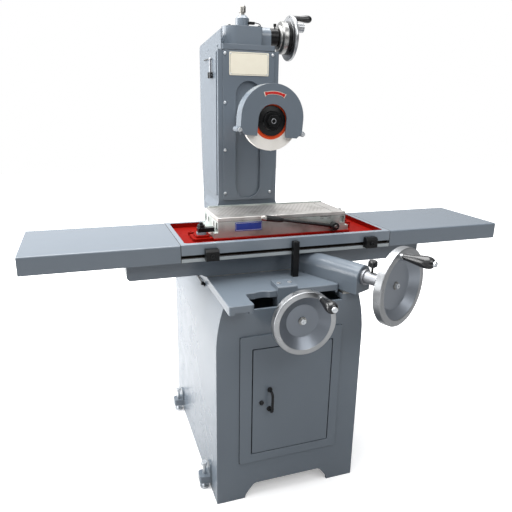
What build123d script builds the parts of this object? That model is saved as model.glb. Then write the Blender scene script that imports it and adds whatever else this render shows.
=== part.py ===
from build123d import *
import os
from math import cos, pi, radians, sin, sqrt, tan

# Driving dimensions in millimetres: X to the right, Y to the rear from the base's front, Z up
BASE_W = 530
BASE_D = 734
CABINET_H = 728
DECK_Z = 748
SHOULDER_Z = 588
SHOULDER_R = 524
WALL = 10
ARCH_HALF = 161
ARCH_H = 56
WELL_HALF = 178
NOTCH_HALF = 40
NOTCH_Z = 690
LUG_Y = (105, 629)
LUG_X = 287
LUG_Z = (28, 56)
PAD_R = 26
BOLT_R = 6

FRAME = (-185, 183, 152, 637)
DOOR = (-140, 147, 188, 587)
DOOR_Y = (-6, -1)
DOOR_GAP = 4
HINGE_X = 142
HINGE_Y = -3.5
HANDLE_X = -80
LATCH_X = -109
LATCH_Z = 386

WAY_X = 202
WAY_W = 46
WAY_Z = 756
SHELF_Z = (749, 779)
SHELF_UNDER = 757
ARM_FRONT = -75
SHELF_FRONT = 20

TABLE_X = 54
TABLE_L = 790
TABLE_Y = (155, 498)
TABLE_Z = 916
APRON_Z = 856
FLOOR_Z = 898
LAND_Z = 906
RIM = 17
GUARD_L = 494
GUARD_T = 3
BEAM_HALF = 568
BEAM_Y = (215.5, 455)
VEE_Y = 232
FLAT_Y = (424, 451)
POST_X = 60
DOG_PITCH = 300

CHUCK_X = (-190, 310)
CHUCK_Y = (254, 454)
CHUCK_Z = (906, 978)
LEVER_X = 258
LEVER_Z = 927
LEVER_L = 300
LEVER_TILT = 9.6
CLAMP_Z = 924
FENCE_T = 8
FENCE_RISE = 3.5

CROSS_X = -18
CROSS_Z = 722
CROSS_Y = -126
CROSS_D = 207
FEED_R = 12
RIM_FACE = 11
RIM_BACK = -17
RIM_SHARE = 0.84
WEB_FACE = -15

TRAVERSE_AT = (300, -145, 813)
SKEW = 25.4
SLEEVE_START = -135
TRAVERSE_D = 260
CROSS_GRIP = 92
TRAVERSE_GRIP = 112
ELEVATING_GRIP = 88
GRIP_R = 19
SMALL_GRIP_R = 14
PINION_TEETH = 14
PINION_MODULE = 2.5
RACK_Y = (286, 314)
RACK_TEETH = 68

COLUMN_HALF = 122
COLUMN_Y = (510, 700)
COLUMN_TOP = 1556
CORNER_R = 4
FOOT_HALF = 132
FOOT_BACK = 715
FOOT_Z = (955, 985)
SLOT_HALF = 51
SLOT_Z = (1000, 1447)
FLANGE_HALF = 98
CAP_Z = 1575
SHEET = 3
HOOD_HALF = 108.5
HOOD_Y = (660, 868)
HOOD_BEND = (860, 1290)
HOOD_FOOT = (822, 905)
HOOD_Z = (1614, 1597)
CHEEK_Y = 512
PANEL = (524, 698, 1010, 1552)
CLASP_Y = 587
CLASP_Z = (1468, 1525)
CLASP_OUT = 9

SPINDLE_Z = 1308
HOUSING_R = 48
GUARD_R = 112.5
GUARD_Z = 1318
GUARD_FRONT = 239
GUARD_SEAM = 264
GUARD_BACK = 294
GUARD_FOOT = 1256
GUARD_WALL = 6
GUARD_TURN = 4
LUG_PLACES = ((-115, 1272), (115, 1272))
WHEEL_R = 100
WHEEL_Y = (256, 276)
FLANGE_R = 50
BLOTTER_R = 62
MOUTH_R = 51.5
MOUTH_Z = 1312

SCREW_Y = 598
SHAFT_Z = 1616
MITRE_TEETH = 18
MITRE_R = 20
COLLAR_X = (108, 143)
DIAL_END = 172
BAND_R = 62
BAND_END = 190
LIFT_R = 85
LIFT_END = 204

RUN = 0.05
TRAVERSE = Plane(
    origin=TRAVERSE_AT,
    x_dir=(cos(radians(SKEW)), sin(radians(SKEW)), 0),
    z_dir=(sin(radians(SKEW)), -cos(radians(SKEW)), 0),
)
CROSSFEED = Plane(origin=(CROSS_X, CROSS_Y, CROSS_Z), x_dir=(1, 0, 0), z_dir=(0, -1, 0))
SPINDLE = Plane(origin=(0, 0, SPINDLE_Z), x_dir=(1, 0, 0), z_dir=(0, 1, 0))
ELEVATING = Plane(origin=(0, SCREW_Y, SHAFT_Z), x_dir=(0, 1, 0), z_dir=(1, 0, 0))
SCREW = Plane(origin=(0, SCREW_Y, 0))


# Building blocks

def spot(axis, along, across):
    """Point from its place along one axis and its other two coordinates in X, Y, Z order."""
    first, second = across
    places = {
        "x": (along, first, second),
        "y": (first, along, second),
        "z": (first, second, along),
    }
    return places[axis]


def block(x, y, z):
    """Box between three pairs of limits."""
    size = [end - start for start, end in (x, y, z)]
    middle = [(start + end) / 2 for start, end in (x, y, z)]
    return Pos(*middle) * Box(*size)


def rod(axis, radius, limits, across):
    """Round bar along one axis."""
    start, end = limits
    plane = Plane(origin=spot(axis, start, across), z_dir=spot(axis, 1, (0, 0)))
    bar = Cylinder(radius, end - start, align=(Align.CENTER, Align.CENTER, Align.MIN))
    return plane.location * bar


def closed(corners, radius):
    """Face inside a closed outline, with rounded corners where a radius is given."""
    if radius:
        return make_face(FilletPolyline(*corners, radius=radius, close=True))
    return make_face(Polyline(*corners, close=True))


def prism(axis, points, limits, radius=0):
    """Outline across one axis, carried along that axis between two limits."""
    start, end = limits
    face = closed([spot(axis, start, point) for point in points], radius)
    return extrude(face, end - start, dir=spot(axis, 1, (0, 0)))


def turned(plane, points, radius=0):
    """Body turned about the normal of a plane, from pairs of radius and height."""
    face = closed([(r, 0, height) for r, height in points], radius)
    return plane.location * revolve(face, Axis.Z)


def rect(left, right, low, high):
    """Corners of an upright rectangle."""
    return [(left, low), (right, low), (right, high), (left, high)]


def hexagon(across_flats, middle):
    """Corners of a hexagon about a point."""
    radius = across_flats / sqrt(3)
    turns = [radians(60 * step) for step in range(6)]
    return [(middle[0] + radius * cos(a), middle[1] + radius * sin(a)) for a in turns]


def obround(half, low, high, limits):
    """Upright slot with round ends, cut from front to back."""
    ends = rod("y", half, limits, (0, low + half)) + rod("y", half, limits, (0, high - half))
    return ends + block((-half, half), limits, (low + half, high - half))


# Cabinet and bed

def cabinet(inset, y, z):
    """Length of the cabinet's section, whose shoulders curve in towards the deck."""
    half = BASE_W / 2 - inset
    rise = DECK_Z - SHOULDER_Z
    fall = SHOULDER_R - sqrt(SHOULDER_R ** 2 - rise ** 2)
    bend = SHOULDER_R - sqrt(SHOULDER_R ** 2 - (rise / 2) ** 2)
    right = [
        (half, y[0], SHOULDER_Z),
        (half - bend, y[0], SHOULDER_Z + rise / 2),
        (half - fall, y[0], DECK_Z),
    ]
    left = [(-px, py, pz) for px, py, pz in right]
    edges = [
        Line((half, y[0], -5), right[0]),
        ThreePointArc(*right),
        Line(right[2], left[2]),
        ThreePointArc(*reversed(left)),
        Line(left[0], (-half, y[0], -5)),
        Line((-half, y[0], -5), (half, y[0], -5)),
    ]
    body = extrude(make_face(edges), y[1] - y[0], dir=(0, 1, 0))
    return body & block((-BASE_W, BASE_W), y, z)


def arch(y):
    """Space between the feet, with ends that sweep up into a flat crown."""
    slope = ARCH_HALF - 33
    points = [(-ARCH_HALF, -60), (-ARCH_HALF, 12), (-slope, ARCH_H)]
    points += [(-px, pz) for px, pz in reversed(points)]
    return prism("y", points, y, 20)


def base_front_plate():
    """Front with its door opening, foot arch and a notch that lets the crossfeed bracket pass."""
    left, right, low, high = DOOR
    plate = cabinet(0, (0, WALL), (0, CABINET_H))
    plate -= arch((-1, WALL + 1))
    plate -= block((left - 6, right + 7), (-1, WALL + 1), (low - 6, high + 6))
    notch = (CROSS_X - NOTCH_HALF, CROSS_X + NOTCH_HALF)
    return plate - block(notch, (-1, WALL + 1), (NOTCH_Z, DECK_Z))


def base_shell():
    """Both sides and the back, with the four levelling lugs and the pads above them."""
    back = BASE_D - WALL
    shell = cabinet(0, (WALL, BASE_D), (0, CABINET_H))
    shell -= cabinet(WALL, (WALL, back), (-5, DECK_Z))
    for side in (-1, 1):
        for y in LUG_Y:
            inner = side * (BASE_W / 2 - 2)
            outer = side * (LUG_X + 20)
            points = [(inner, y - 27), (outer, y - 20), (outer, y + 20), (inner, y + 27)]
            shell += prism("z", points, LUG_Z, (0, 10, 10, 0)) + lug_pad(side, y)
            shell -= rod("z", BOLT_R + RUN, (LUG_Z[0] - 1, LUG_Z[1] + 1), (side * LUG_X, y))
    return shell


def lug_pad(side, y):
    """Half-round pad on the side wall above a lug."""
    depth = sorted((side * (BASE_W / 2 - 2), side * (BASE_W / 2 + 6)))
    level = LUG_Z[1] + 22
    pad = rod("x", PAD_R, depth, (y, level))
    return pad + block(depth, (y - PAD_R, y + PAD_R), (LUG_Z[0] + 1, level))


def levelling_bolts():
    bolts = []
    for side in (-1, 1):
        for y in LUG_Y:
            at = (side * LUG_X, y)
            bolt = rod("z", 18, (0, 8), at) + rod("z", BOLT_R, (8, 95), at)
            bolts.append(bolt + prism("z", hexagon(20, at), (93, 105)))
    return bolts


def bed():
    """Deck with two flat ways, an open well and the bridge that carries the crossfeed nut."""
    deck = cabinet(0, (0, BASE_D), (CABINET_H, DECK_Z))
    deck -= block((-WELL_HALF, WELL_HALF), (-1, 480), (CABINET_H - 1, DECK_Z + 1))
    for side in (-1, 1):
        edges = sorted((side * (WAY_X - WAY_W / 2), side * (WAY_X + WAY_W / 2)))
        deck += block(edges, (0, 496), (DECK_Z, WAY_Z))
    bridge = block((-WELL_HALF - 1, WELL_HALF + 1), (215, 245), (696, DECK_Z - 2))
    return deck + bridge - rod("y", 17, (210, 250), (CROSS_X, CROSS_Z))


def crossfeed_nut():
    at = (CROSS_X, CROSS_Z)
    nut = rod("y", 24, (206.5, 215), at) + rod("y", 17, (215, 252), at)
    return nut - rod("y", 11 + RUN, (200, 260), at)


# Door

def door_frame():
    left, right, low, high = DOOR
    gap = (left - DOOR_GAP, right + DOOR_GAP, low - DOOR_GAP, high + DOOR_GAP)
    frame = prism("y", rect(*FRAME), (-6, 0), 6) - prism("y", rect(*gap), (-7, 1), 3)
    for z in ((low - 9, low), (high, high + 9)):
        frame -= rod("z", 1.5 + RUN, z, (HINGE_X, HINGE_Y))
    return frame


def door():
    """Flush panel on two pintles, with a hole for its turn latch."""
    left, right, low, high = DOOR
    panel = prism("y", rect(*DOOR), DOOR_Y, 3)
    for z in ((low - 8, low + 4), (high - 4, high + 8)):
        panel += rod("z", 1.5, z, (HINGE_X, HINGE_Y))
    return panel - rod("y", 4 + RUN, (-10, 5), (LATCH_X, LATCH_Z))


def door_handle():
    low = (HANDLE_X, DOOR_Y[0], 358)
    high = (HANDLE_X, DOOR_Y[0], 432)
    out = -37
    path = FilletPolyline(high, (HANDLE_X, out, 432), (HANDLE_X, out, 358), low, radius=13)
    bow = sweep(Plane(origin=path @ 0, z_dir=path % 0) * Circle(4.5), path=path)
    for z in (358, 432):
        bow += rod("y", 9, (DOOR_Y[0] - 4, DOOR_Y[0]), (HANDLE_X, z))
    return bow


def door_latch():
    """Slotted head, stem and the cam that turns behind the front plate."""
    at = (LATCH_X, LATCH_Z)
    latch = rod("y", 8, (-10, -6.2), at) + rod("y", 4, (-6.2, 14), at)
    cam = rect(LATCH_X - 6, LATCH_X + 6, LATCH_Z - 46, LATCH_Z + 7)
    latch += prism("y", cam, (10.5, 14), 5)
    return latch - block((LATCH_X - 1, LATCH_X + 1), (-11, -8.5), (LATCH_Z - 6, LATCH_Z + 6))


# Saddle

def beyond_housing(offset):
    """Place on the shelf's skewed edge, which runs beside the traverse housing."""
    x, y, z = TRAVERSE_AT
    lean = tan(radians(SKEW))
    return lambda depth: x - (depth - y) * lean - offset / cos(radians(SKEW))


def saddle_shelf():
    """Plate on two rails with a long left arm, cut on the skew beside the traverse housing."""
    edge = beyond_housing(39.6)
    inner = -WAY_X + 40
    outer = -WAY_X - 40
    points = [(outer, ARM_FRONT), (inner, ARM_FRONT), (inner, SHELF_FRONT)]
    points += [(edge(SHELF_FRONT), SHELF_FRONT), (edge(BEAM_Y[0]), BEAM_Y[0])]
    points += [(-outer, BEAM_Y[0]), (-outer, 470), (outer, 470)]
    shelf = prism("z", points, SHELF_Z, (8, 8, 14, 8, 0, 6, 4, 4))
    for side in (-1, 1):
        middle = side * WAY_X
        half = WAY_W / 2 + RUN
        low = SHELF_Z[0] - 1
        shelf -= block((middle - half, middle + half), (-90, 480), (low, WAY_Z + RUN))
    shelf -= block((inner, -inner), (0, 480), (SHELF_Z[0] - 1, SHELF_UNDER))
    shelf -= scallop()
    return chamfer(shelf.faces().sort_by(Axis.Z)[-1].edges(), 2)


def scallop():
    """Shallow hollow in the shelf's front edge between the arm and the bracket."""
    return rod("z", 60, (SHELF_Z[0] - 1, SHELF_Z[1] + 1), (-104, SHELF_FRONT - 54))


def saddle_beam():
    """Long trough-shaped beam with a raised vee in front and a flat way behind."""
    foot = SHELF_Z[1]
    ends = (TABLE_X - BEAM_HALF, TABLE_X + BEAM_HALF)
    points = [(ends[0], APRON_Z), (ends[0], foot + 9), (-262, foot + 9), (-246, foot)]
    points += [(250, foot), (266, foot + 9), (ends[1], foot + 9), (ends[1], APRON_Z)]
    beam = prism("y", points, BEAM_Y, (2, 14, 12, 12, 12, 12, 14, 2))
    beam -= block((ends[0] + 12, ends[1] - 12), (250, 420), (foot + 10, APRON_Z + 1))
    beam += prism("x", vee(0), ends)
    beam += block(ends, FLAT_Y, (APRON_Z - 1, APRON_Z + 6))
    return beam - shaft_hole(17)


def vee(gap):
    """Section of the vee way, or of the groove that rides over it."""
    foot = APRON_Z - 1 - gap
    top = APRON_Z + 10 + gap
    wide = 13 + gap
    slim = 2 + gap
    points = [(VEE_Y - wide, foot), (VEE_Y + wide, foot)]
    return points + [(VEE_Y + slim, top), (VEE_Y - slim, top)]


def shaft_hole(radius):
    """Bore along the traverse shaft."""
    bore = Cylinder(radius, 520, align=(Align.CENTER, Align.CENTER, Align.MAX))
    return TRAVERSE.location * bore


def stop_post():
    post = prism("z", rect(POST_X - 11, POST_X + 11, 130, 152), (SHELF_Z[1], 907), 2)
    return chamfer(post.faces().sort_by(Axis.Z)[-1].edges(), 2)


def crossfeed_bracket():
    """Angle bracket over the shelf's front edge, with the bearing block hanging below."""
    top = SHELF_Z[1]
    points = [(12, 697), (12, top + 14), (82, top + 14), (82, top), (SHELF_FRONT - 0.3, top)]
    points += [(SHELF_FRONT - 0.3, SHELF_UNDER - 0.5), (60, SHELF_UNDER - 0.5), (60, 697)]
    body = prism("x", points, (CROSS_X - 35, CROSS_X + 35), (6, 6, 3, 0, 0, 0, 3, 3))
    return body - rod("y", FEED_R + RUN, (0, 70), (CROSS_X, CROSS_Z))


def traverse_housing():
    """Arched housing of the skewed traverse shaft, bolted flat against the beam."""
    low = -56
    side = 39
    edges = [
        Line((-side, low, 0), (side, low, 0)),
        Line((side, low, 0), (side, 0, 0)),
        ThreePointArc((side, 0, 0), (0, side, 0), (-side, 0, 0)),
        Line((-side, 0, 0), (-side, low, 0)),
    ]
    body = Pos(0, 0, -460) * extrude(make_face(edges), 460 + SLEEVE_START)
    body = TRAVERSE.location * chamfer(body.faces().sort_by(Axis.Z)[-1].edges(), 2)
    body &= block((-200, 600), (-300, BEAM_Y[0]), (600, 1000))
    return body - shaft_hole(FEED_R + RUN)


def traverse_sleeve():
    start = SLEEVE_START
    bore = FEED_R + RUN
    points = [(bore, start), (27, start), (27, start + 10), (21.5, start + 10), (21.5, -63), (bore, -63)]
    tube = turned(TRAVERSE, points)
    return tube - TRAVERSE.location * Pos(0, 17, -105) * Rot(-90, 0, 0) * Cylinder(4 + RUN, 16)


def traverse_lock():
    """Black knob on a stem that pinches the sleeve."""
    stem = TRAVERSE.location * Pos(0, 0, -105) * Rot(-90, 0, 0)
    points = [(0, 14), (4, 14), (4, 40), (10, 40), (16, 45), (16, 58), (12, 63), (0, 63)]
    knob = revolve(closed([(r, 0, h) for r, h in points], 0), Axis.Z)
    for step in range(6):
        turn = Rot(0, 0, 60 * step)
        knob -= turn * Pos(19, 0, 54) * Cylinder(5, 26)
    return stem * knob


# Handwheels

def handwheel(plane, radius, flat, back):
    """Dished wheel: broad flat rim, coned wall, flat web and a hub that reaches back on its shaft."""
    inner = RIM_SHARE * radius
    rear = WEB_FACE - 9
    points = [(FEED_R + RUN, back), (24, back), (24, rear), (flat + 7, rear), (inner + 2, RIM_BACK)]
    points += [(radius, RIM_BACK), (radius, RIM_FACE), (inner, RIM_FACE), (flat, WEB_FACE)]
    points += [(FEED_R + RUN, WEB_FACE)]
    return turned(plane, points, (0, 3, 5, 5, 5, 3, 3, 3, 5, 0))


def end_washer(plane):
    """Washer that holds a handwheel on the end of its shaft."""
    top = WEB_FACE + 4
    return turned(plane, [(0, WEB_FACE), (FEED_R + 1.5, WEB_FACE), (FEED_R + 0.5, top), (0, top)])


def handle_place(plane, radius, angle):
    """Frame of a handle that stands on the rim."""
    turn = radians(angle)
    return plane * Pos(radius * cos(turn), radius * sin(turn), RIM_FACE)


def handle_pin(place, length):
    """Shouldered pin on which a handle turns."""
    points = [(0, -4), (9, -4), (9, 8), (5, 12), (5, length - 12), (0, length - 12)]
    return place * revolve(closed([(r, 0, h) for r, h in points], 0), Axis.Z)


def grip(place, length, radius):
    """Bulb-shaped handle that revolves on its pin: slim root, full belly and rounded end."""
    root = 12.5
    neck = 9.5
    depth = length - 11
    bore = 5 + RUN
    belly = [(0.7 * radius, 0, 0.36 * length), (radius, 0, 0.72 * length), (0.8 * radius, 0, 0.93 * length)]
    outer = Spline((neck, 0, root), *belly, (0, 0, length), tangents=((0.1, 0, 1), (-1, 0, 0)))
    edges = [
        Line((bore, 0, root), (neck, 0, root)),
        outer,
        Line((0, 0, length), (0, 0, depth)),
        Line((0, 0, depth), (bore, 0, depth)),
        Line((bore, 0, depth), (bore, 0, root)),
    ]
    return place * revolve(make_face(edges), Axis.Z)


CROSS_HANDLE = handle_place(CROSSFEED, CROSS_D / 2 - 13, 60)
TRAVERSE_HANDLE = handle_place(TRAVERSE, TRAVERSE_D / 2 - 14, 107)
ELEVATING_HANDLE = ELEVATING * Pos(0, LIFT_R - 10, LIFT_END - 2)


def crossfeed_screw():
    """Screw with its front journal, held in the bracket by two collars."""
    points = [(0, WEB_FACE), (FEED_R, WEB_FACE), (FEED_R, -186.5), (17, -186.5), (17, -196)]
    points += [(11, -196), (11, -581), (0, -581)]
    return turned(CROSSFEED, points) + end_washer(CROSSFEED)


def crossfeed_dial():
    """Graduated collar between the bracket and the handwheel hub."""
    points = [(FEED_R + RUN, -137.5), (20, -137.5), (23, -130), (23, -84), (FEED_R + RUN, -84)]
    return turned(CROSSFEED, points, (0, 2, 2, 3, 0))


def crossfeed_wheel():
    return handwheel(CROSSFEED, CROSS_D / 2, 54, -83) + handle_pin(CROSS_HANDLE, CROSS_GRIP)


def traverse_wheel():
    return handwheel(TRAVERSE, TRAVERSE_D / 2, 80, -62) + handle_pin(TRAVERSE_HANDLE, TRAVERSE_GRIP)


def gear_outline(teeth, root, tip, root_half, tip_half, start, height):
    """Closed tooth outline about the Z axis; the half thicknesses are lengths along the circle."""
    points = []
    for step in range(teeth):
        middle = radians(start) + 2 * pi * step / teeth
        for radius, half in ((root, -root_half), (tip, -tip_half), (tip, tip_half), (root, root_half)):
            turn = middle + half / radius
            points.append((radius * cos(turn), radius * sin(turn), height))
    return make_face(Polyline(*points, close=True)).face()


def pinion_radius():
    return PINION_TEETH * PINION_MODULE / cos(radians(SKEW)) / 2


def pinion_middle():
    """Distance from the traverse wheel back to the rack's centre line."""
    return ((RACK_Y[0] + RACK_Y[1]) / 2 - TRAVERSE_AT[1]) / cos(radians(SKEW))


def traverse_shaft():
    """Shaft ending in a helical pinion whose teeth lie square across the rack."""
    radius = pinion_radius()
    wide = 30
    twist = wide * tan(radians(SKEW)) / radius * 180 / pi
    section = gear_outline(PINION_TEETH, radius - 3.1, radius + 2.2, 2.5, 0.95, 90 - twist / 2, 0)
    pinion = Solid.extrude_linear_with_rotation(section, (0, 0, 0), (0, 0, wide), twist)
    pinion = TRAVERSE.location * Pos(0, 0, -pinion_middle() - wide / 2) * pinion
    tail = -pinion_middle() - wide / 2
    start = tail + wide - 0.5
    shaft = turned(TRAVERSE, [(0, WEB_FACE), (FEED_R, WEB_FACE), (FEED_R, start), (0, start)])
    return pinion + shaft + end_washer(TRAVERSE)


def rack():
    """Straight-toothed rack under the table, with a tooth space over the pinion."""
    pitch = pi * PINION_MODULE
    level = TRAVERSE_AT[2] + pinion_radius() + 0.15
    x = TRAVERSE_AT[0] - pinion_middle() * sin(radians(SKEW))
    start = x - RACK_TEETH / 2 * pitch
    points = [(start, FLOOR_Z - 16), (start, level + 3)]
    for step in range(RACK_TEETH):
        middle = start + (step + 0.5) * pitch
        tooth = ((-2.7, 3), (-0.85, -2.2), (0.85, -2.2), (2.7, 3))
        points += [(middle + dx, level + dz) for dx, dz in tooth]
    points += [(start + RACK_TEETH * pitch, level + 3)]
    points += [(start + RACK_TEETH * pitch, FLOOR_Z - 16)]
    return prism("y", points, RACK_Y)


# Table, guards and chuck

def table_ends():
    return (TABLE_X - TABLE_L / 2, TABLE_X + TABLE_L / 2)


def table():
    """Tray with a rimmed trough, the land for the chuck, an apron with a T-slot and two ways."""
    left, right = table_ends()
    front, back = TABLE_Y
    body = block((left, right), (front, back), (FLOOR_Z - 16, TABLE_Z))
    trough = rect(left + RIM, right - RIM, front + 22, back - RIM)
    body -= prism("z", trough, (FLOOR_Z, TABLE_Z + 1), 12)
    body += block((left, right), (front, front + 22), (APRON_Z, TABLE_Z - 5))
    body += block((left, right), (back - RIM, back), (APRON_Z + 12, TABLE_Z - 5))
    body += block((left, right), (BEAM_Y[0] - 1, 250), (APRON_Z + 0.1, FLOOR_Z - 10))
    body += block((left, right), (420, 456), (APRON_Z + 6.1, FLOOR_Z - 10))
    body -= prism("x", vee(0.1), (left - 1, right + 1))
    body += land()
    return body - t_slot(left - 1, right + 1)


def land():
    """Machined seat of the chuck and the stepped bosses of its clamps."""
    seat = (CHUCK_X[0] - 17, CHUCK_X[1] + 17, 240, 468)
    body = prism("z", rect(*seat), (FLOOR_Z - 1, LAND_Z), 4)
    for x, y in clamp_places():
        body += prism("z", rect(x - 36, x + 36, y - 40, y + 40), (FLOOR_Z - 1, FLOOR_Z + 10), 12)
        body += prism("z", rect(x - 25, x + 25, y - 28, y + 28), (FLOOR_Z, LAND_Z + 9), 10)
        body += rod("z", 18, (FLOOR_Z, CLAMP_Z), (x, y))
    for x, y in ((CHUCK_X[0] - 76, 358), (CHUCK_X[1] + 47, 322)):
        body += rod("z", 11, (FLOOR_Z - 1, LAND_Z + 4), (x, y))
        body -= rod("z", 4, (FLOOR_Z, LAND_Z + 5), (x, y))
    return body


def clamp_places():
    return ((CHUCK_X[0] - 52, 292), (CHUCK_X[1] + 52, 400))


def t_slot(left, right):
    """Slot for the trip dogs along the front of the apron."""
    front = TABLE_Y[0]
    slot = block((left, right), (front - 1, front + 7), (871, 879))
    return slot + block((left, right), (front + 6, front + 14), (867.5, 882.5))


def table_guards():
    """Two sheet covers that carry the table's outline over the ways."""
    front, back = TABLE_Y
    left, right = table_ends()
    low = APRON_Z
    covers = []
    for start, end, shut in ((left - GUARD_L, left, 1), (right, right + GUARD_L, -1)):
        cover = block((start, end), (front, back), (low, TABLE_Z))
        cover = fillet(cover.edges().filter_by(Axis.X).group_by(Axis.Z)[-1], 6)
        inner = (start + GUARD_T, end) if shut == 1 else (start, end - GUARD_T)
        cover -= block(inner, (front + GUARD_T, back - GUARD_T), (low - 1, TABLE_Z - GUARD_T))
        tip = start if shut == 1 else end
        cover -= block((tip - 4, tip + 4), (200, 470), (low - 1, APRON_Z + 24))
        cover -= block((start - 1, end + 1), (back - 4, back + 1), (low - 1, APRON_Z + 12))
        covers.append(cover)
    return covers


def dog(x):
    """Trip dog with the tongue that clamps in the T-slot."""
    front = TABLE_Y[0]
    back = front - 0.3
    points = [(front - 26, 862), (back, 862), (back, 900), (front - 19, 900), (front - 26, 893)]
    body = prism("x", points, (x - 22.5, x + 22.5))
    body += block((x - 18, x + 18), (front - 1, front + 7), (871.3, 878.7))
    body += block((x - 18, x + 18), (front + 6.4, front + 13.6), (868, 882))
    screw = rod("y", 7, (front - 32, front - 26), (x, 878))
    return body + screw - prism("y", hexagon(7, (x, 878)), (front - 33, front - 28))


def left_dog():
    return dog(POST_X - DOG_PITCH)


def right_dog():
    return dog(POST_X + DOG_PITCH)


def chuck_body():
    """Magnetic chuck with end ledges, a low fence behind its face and the bore of its lever shaft."""
    low, high = CHUCK_Z
    body = block(CHUCK_X, CHUCK_Y, (low, high - 14))
    body += block((CHUCK_X[0] - 15, CHUCK_X[1] + 15), CHUCK_Y, (low, low + 18))
    fence = (CHUCK_Y[1], CHUCK_Y[1] + FENCE_T)
    body += block((CHUCK_X[0] + 14, CHUCK_X[1] - 4), fence, (high - 48, high + FENCE_RISE))
    body -= rod("y", 10 + RUN, (CHUCK_Y[0] - 1, CHUCK_Y[0] + 62), (LEVER_X, LEVER_Z))
    notch = (CHUCK_X[1] - 22, CHUCK_X[1] - 5)
    body -= block(notch, (CHUCK_Y[0] - 1, CHUCK_Y[0] + 8), (936, 961))
    return body - end_recess(CHUCK_X[0]) - end_recess(CHUCK_X[1])


def end_recess(x):
    """Upright slots and screw holes in one end face of the chuck."""
    depth = (x - 6, x + 6)
    front, back = CHUCK_Y
    cuts = block(depth, (front + 12, front + 22), (934, 958))
    cuts += block(depth, (back - 22, back - 12), (934, 958))
    for y in (front + 60, back - 60):
        cuts += rod("x", 5, depth, (y, 946))
    return cuts


def chuck_top():
    """Pole plate with a small chamfer round its working face."""
    plate = block(CHUCK_X, CHUCK_Y, (CHUCK_Z[1] - 14, CHUCK_Z[1]))
    return chamfer(plate.faces().sort_by(Axis.Z)[-1].edges(), 1.5)


def chuck_clamps():
    """Strap, stud and nut at each end of the chuck."""
    clamps = []
    for side, (x, y) in zip((-1, 1), clamp_places()):
        tip = x - side * 47
        points = [(x + side * 14, y - 15), (tip, y - 11), (tip, y + 11), (x + side * 14, y + 15)]
        clamp = prism("z", points, (CLAMP_Z, CLAMP_Z + 15), 3)
        clamp += prism("z", hexagon(24, (x, y)), (CLAMP_Z + 14, CLAMP_Z + 26))
        clamps.append(clamp + rod("z", 7, (CLAMP_Z + 20, CLAMP_Z + 34), (x, y)))
    return clamps


def chuck_lever():
    """Switch lever: shaft in the chuck, boss, tapered arm and round grip."""
    at = (LEVER_X, LEVER_Z)
    front = CHUCK_Y[0]
    lever = rod("y", 10, (front - 4, front + 60), at) + rod("y", 15, (front - 28, front - 3), at)
    points = [(0, 0), (7, 0), (5.5, LEVER_L - 88), (8, LEVER_L - 84), (10, LEVER_L - 70)]
    points += [(11, LEVER_L - 8), (8, LEVER_L), (0, LEVER_L)]
    plane = Plane(origin=(LEVER_X, front - 17, LEVER_Z), z_dir=lever_direction())
    return lever + turned(plane, points)


def lever_direction():
    tilt = radians(LEVER_TILT)
    return (-cos(tilt), -0.02, sin(tilt))


# Column and covers

def column_section(half, back, z):
    """Plan of the column with rounded front corners."""
    front = COLUMN_Y[0]
    points = [(-half, front), (half, front), (half, back), (-half, back)]
    return closed([(x, y, z) for x, y in points], (CORNER_R, CORNER_R, 1, 1))


def column():
    """Hollow column on a flared foot, with guide ways inside and a long slot in front."""
    front, back = COLUMN_Y
    low, high = FOOT_Z
    foot = extrude(column_section(FOOT_HALF, FOOT_BACK, DECK_Z), low - DECK_Z, dir=(0, 0, 1))
    flare = loft([column_section(FOOT_HALF, FOOT_BACK, low), column_section(COLUMN_HALF, back, high)])
    body = extrude(column_section(COLUMN_HALF, back, high), COLUMN_TOP - high, dir=(0, 0, 1))
    body += flare + foot
    inner = (12 - COLUMN_HALF, COLUMN_HALF - 12)
    body -= block(inner, (front + 8, back - 10), (high, COLUMN_TOP - 10))
    body -= block((-FLANGE_HALF, FLANGE_HALF), (back - 11, back + 1), (high, COLUMN_TOP - 10))
    body -= block(inner, (front + 8, back - 12), (DECK_Z + 17, high))
    body -= obround(SLOT_HALF + 5, SLOT_Z[0] - 5, SLOT_Z[1] + 5, (front - 1, front + 9))
    body -= block((-COLUMN_HALF - 1, -COLUMN_HALF + 13), (545, 670), (1050, 1500))
    body -= rod("z", 16, (COLUMN_TOP - 11, COLUMN_TOP + 1), (0, SCREW_Y))
    for way in ((-110, -84), (84, 110)):
        body += block(way, (538, 568), (790, 1540))
    return body


def front_cover():
    front = COLUMN_Y[0]
    plate = prism("y", rect(-102, 102, 992, COLUMN_TOP - 2), (front - 4, front), 8)
    return plate - obround(SLOT_HALF, *SLOT_Z, (front - 5, front + 1))


def cover_screws():
    """Domed screws down both edges of the front cover."""
    screws = []
    front = COLUMN_Y[0] - 4
    for x in (-94, 94):
        for z in (1021, 1190, 1367, 1542):
            plane = Plane(origin=(x, front, z), z_dir=(0, -1, 0))
            screws.append(turned(plane, [(0, 0), (6, 0), (5, 2.2), (2.5, 3.2), (0, 3.2)]))
    return screws


def blank_plate():
    front = COLUMN_Y[0] - 4
    return prism("y", rect(-78, 78, 1466, 1548), (front - 1.5, front), 4)


def cap_plate():
    plate = prism("z", rect(-105, 105, COLUMN_Y[0] - 4, 699), (COLUMN_TOP, CAP_Z), 6)
    return plate - rod("z", 16, (COLUMN_TOP - 1, CAP_Z + 1), (0, SCREW_Y))


def roof(y):
    """Height of the hood's roof, which falls from front to back."""
    front, back = HOOD_Y
    return HOOD_Z[0] + (HOOD_Z[1] - HOOD_Z[0]) * (y - front) / (back - front)


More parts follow.
